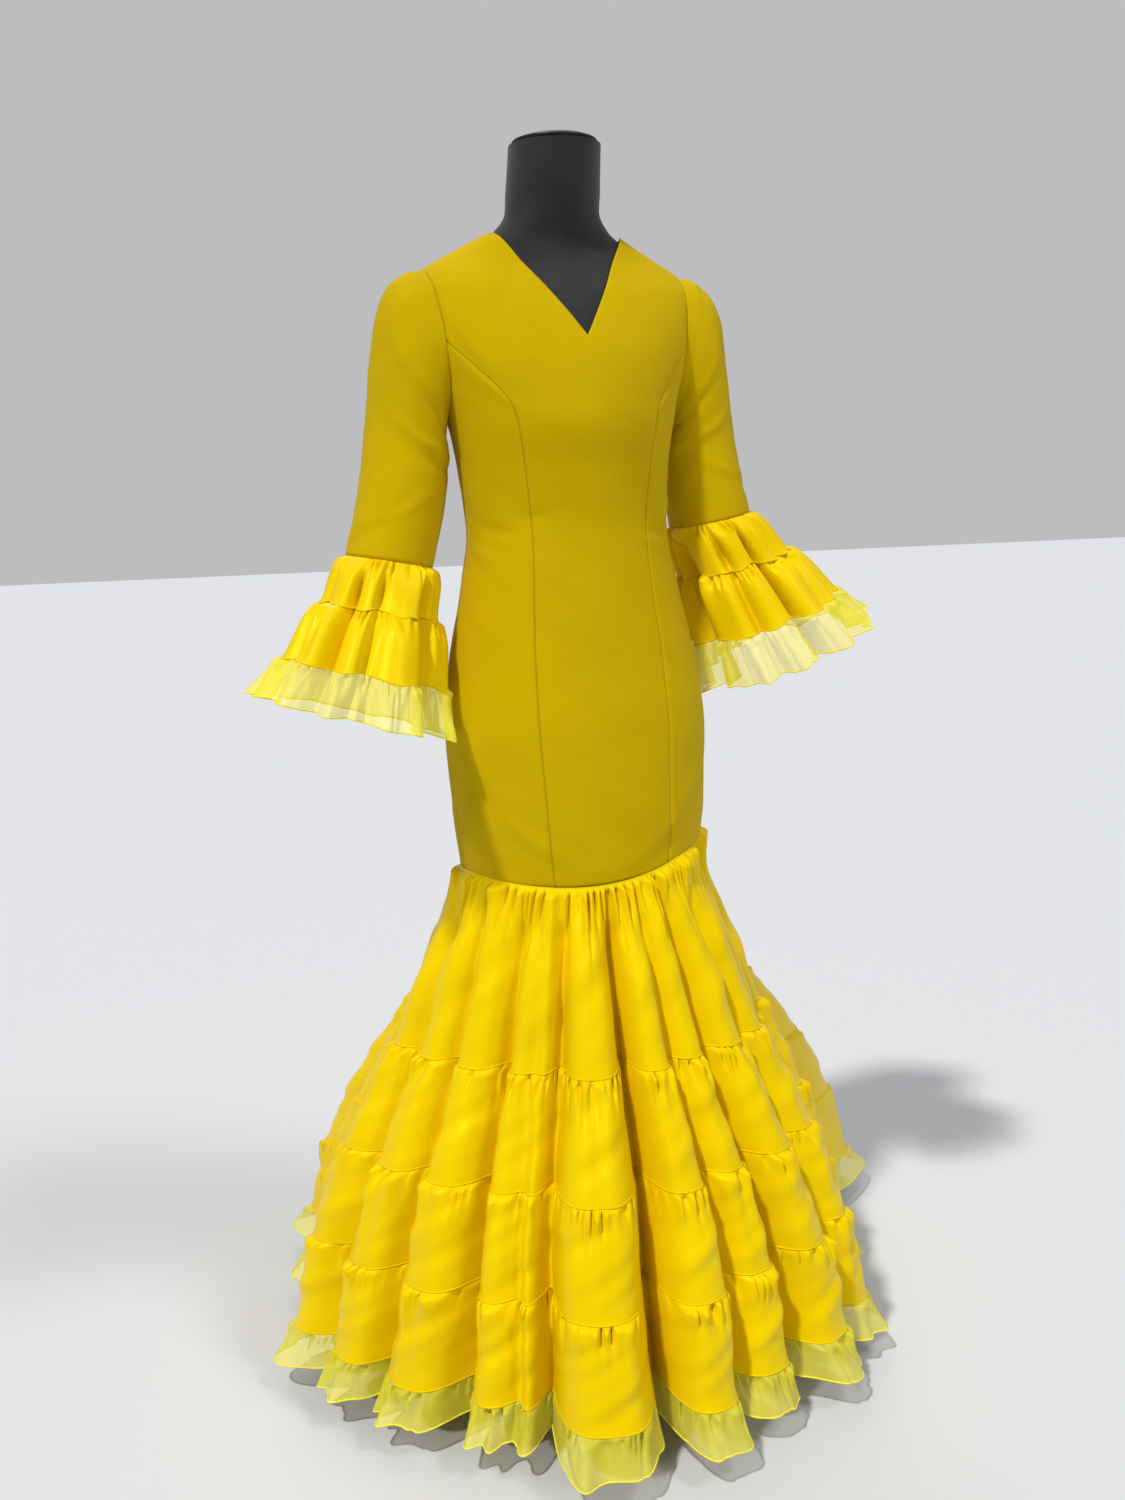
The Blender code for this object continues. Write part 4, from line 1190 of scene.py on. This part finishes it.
def make_skirt():
    for name, top, bottom, rows in SKIRT_PIECES:
        surface = tier_surface(name, top, bottom)

        def place(u, v, surface=surface):
            return surface(2.0 * np.pi * (u - 0.5) * JOIN_SHARE, (1.0 - v) ** 1.4)

        slant = HEM_LENGTH if name == "hem_ruffle" else SLANT_SHARE * (top - bottom)
        cloth = cut_sheet(f"{name}_cloth", SKIRT_COLUMNS, rows, place, (SKIRT_UV_WIDTH, slant))
        slot, finish = ("organza", ORGANZA) if name == "hem_ruffle" else ("satin", SATIN)
        finish_piece(cloth, slot, finish, name)

        def free_edge(turn, surface=surface):
            return surface(turn, turn * 0.0 + 1.0)

        if name == "hem_ruffle":
            radius = 1.1 * EDGE_RADIUS
            ring_tube("hem_rolled_edge", free_edge, radius, "organza", THREAD, SKIRT_COLUMNS)
        else:
            ridge = f"{name}_seam_ridge"
            ring_tube(ridge, free_edge, SEAM_RIDGE_RADIUS, "satin", SATIN, SKIRT_COLUMNS)


make_skirt()

# %% [markdown]
# ## Floor and light
# The dress stands on a plain pale floor under soft studio light. Distant broad lamps keep the
# floor even: a key from the wearer's right, a weaker fill from the left, one from behind, and
# a pale world that lifts the shadows.

# %% Set the studio
FLOOR_SIZE = 30.0


def make_floor():
    plane = bmesh.new()
    bmesh.ops.create_grid(plane, x_segments=1, y_segments=1, size=FLOOR_SIZE)
    mesh = bpy.data.meshes.new("studio_floor")
    plane.to_mesh(mesh)
    plane.free()
    floor = bpy.data.objects.new("studio_floor", mesh)
    bpy.context.scene.collection.objects.link(floor)
    floor.data.materials.append(new_material("floor_paint", (0.62, 0.64, 0.67), 0.9)[0])


AIR_STRENGTH = 0.30
BACKGROUND_STRENGTH = 0.62
Lamp = namedtuple("Lamp", "name azimuth elevation softness strength colour")
LAMPS = (
    Lamp("key", -58.0, 56.0, 4.0, 2.4, (1.0, 0.98, 0.94)),
    Lamp("fill", 40.0, 52.0, 14.0, 0.9, (1.0, 1.0, 1.0)),
    Lamp("back", 170.0, 50.0, 30.0, 0.55, (1.0, 1.0, 1.0)),
)


def make_world():
    world = bpy.data.worlds.new("studio_air")
    world.use_nodes = True
    sky = world.node_tree.nodes["Background"]
    sky.inputs["Color"].default_value = (0.82, 0.82, 0.84, 1.0)
    links = world.node_tree.links
    seen = world.node_tree.nodes.new("ShaderNodeLightPath")
    strength = world.node_tree.nodes.new("ShaderNodeMath")
    strength.operation = "MULTIPLY_ADD"
    strength.inputs[1].default_value = BACKGROUND_STRENGTH - AIR_STRENGTH
    strength.inputs[2].default_value = AIR_STRENGTH
    links.new(seen.outputs["Is Camera Ray"], strength.inputs[0])
    links.new(strength.outputs["Value"], sky.inputs["Strength"])
    bpy.context.scene.world = world


def make_sun(name, azimuth, elevation, softness, strength, colour):
    lamp = bpy.data.lights.new(name, "SUN")
    lamp.angle = math.radians(softness)
    lamp.energy = strength
    lamp.color = colour
    made = bpy.data.objects.new(name, lamp)
    bpy.context.scene.collection.objects.link(made)
    turn, rise = math.radians(azimuth), math.radians(elevation)
    away = Vector((math.sin(turn) * math.cos(rise), -math.cos(turn) * math.cos(rise), math.sin(rise)))
    made.rotation_mode = "QUATERNION"
    made.rotation_quaternion = (-away).to_track_quat("-Z", "Y")


make_floor()
for lamp in LAMPS:
    make_sun(*lamp)
make_world()
bpy.context.scene.view_settings.view_transform = "Standard"
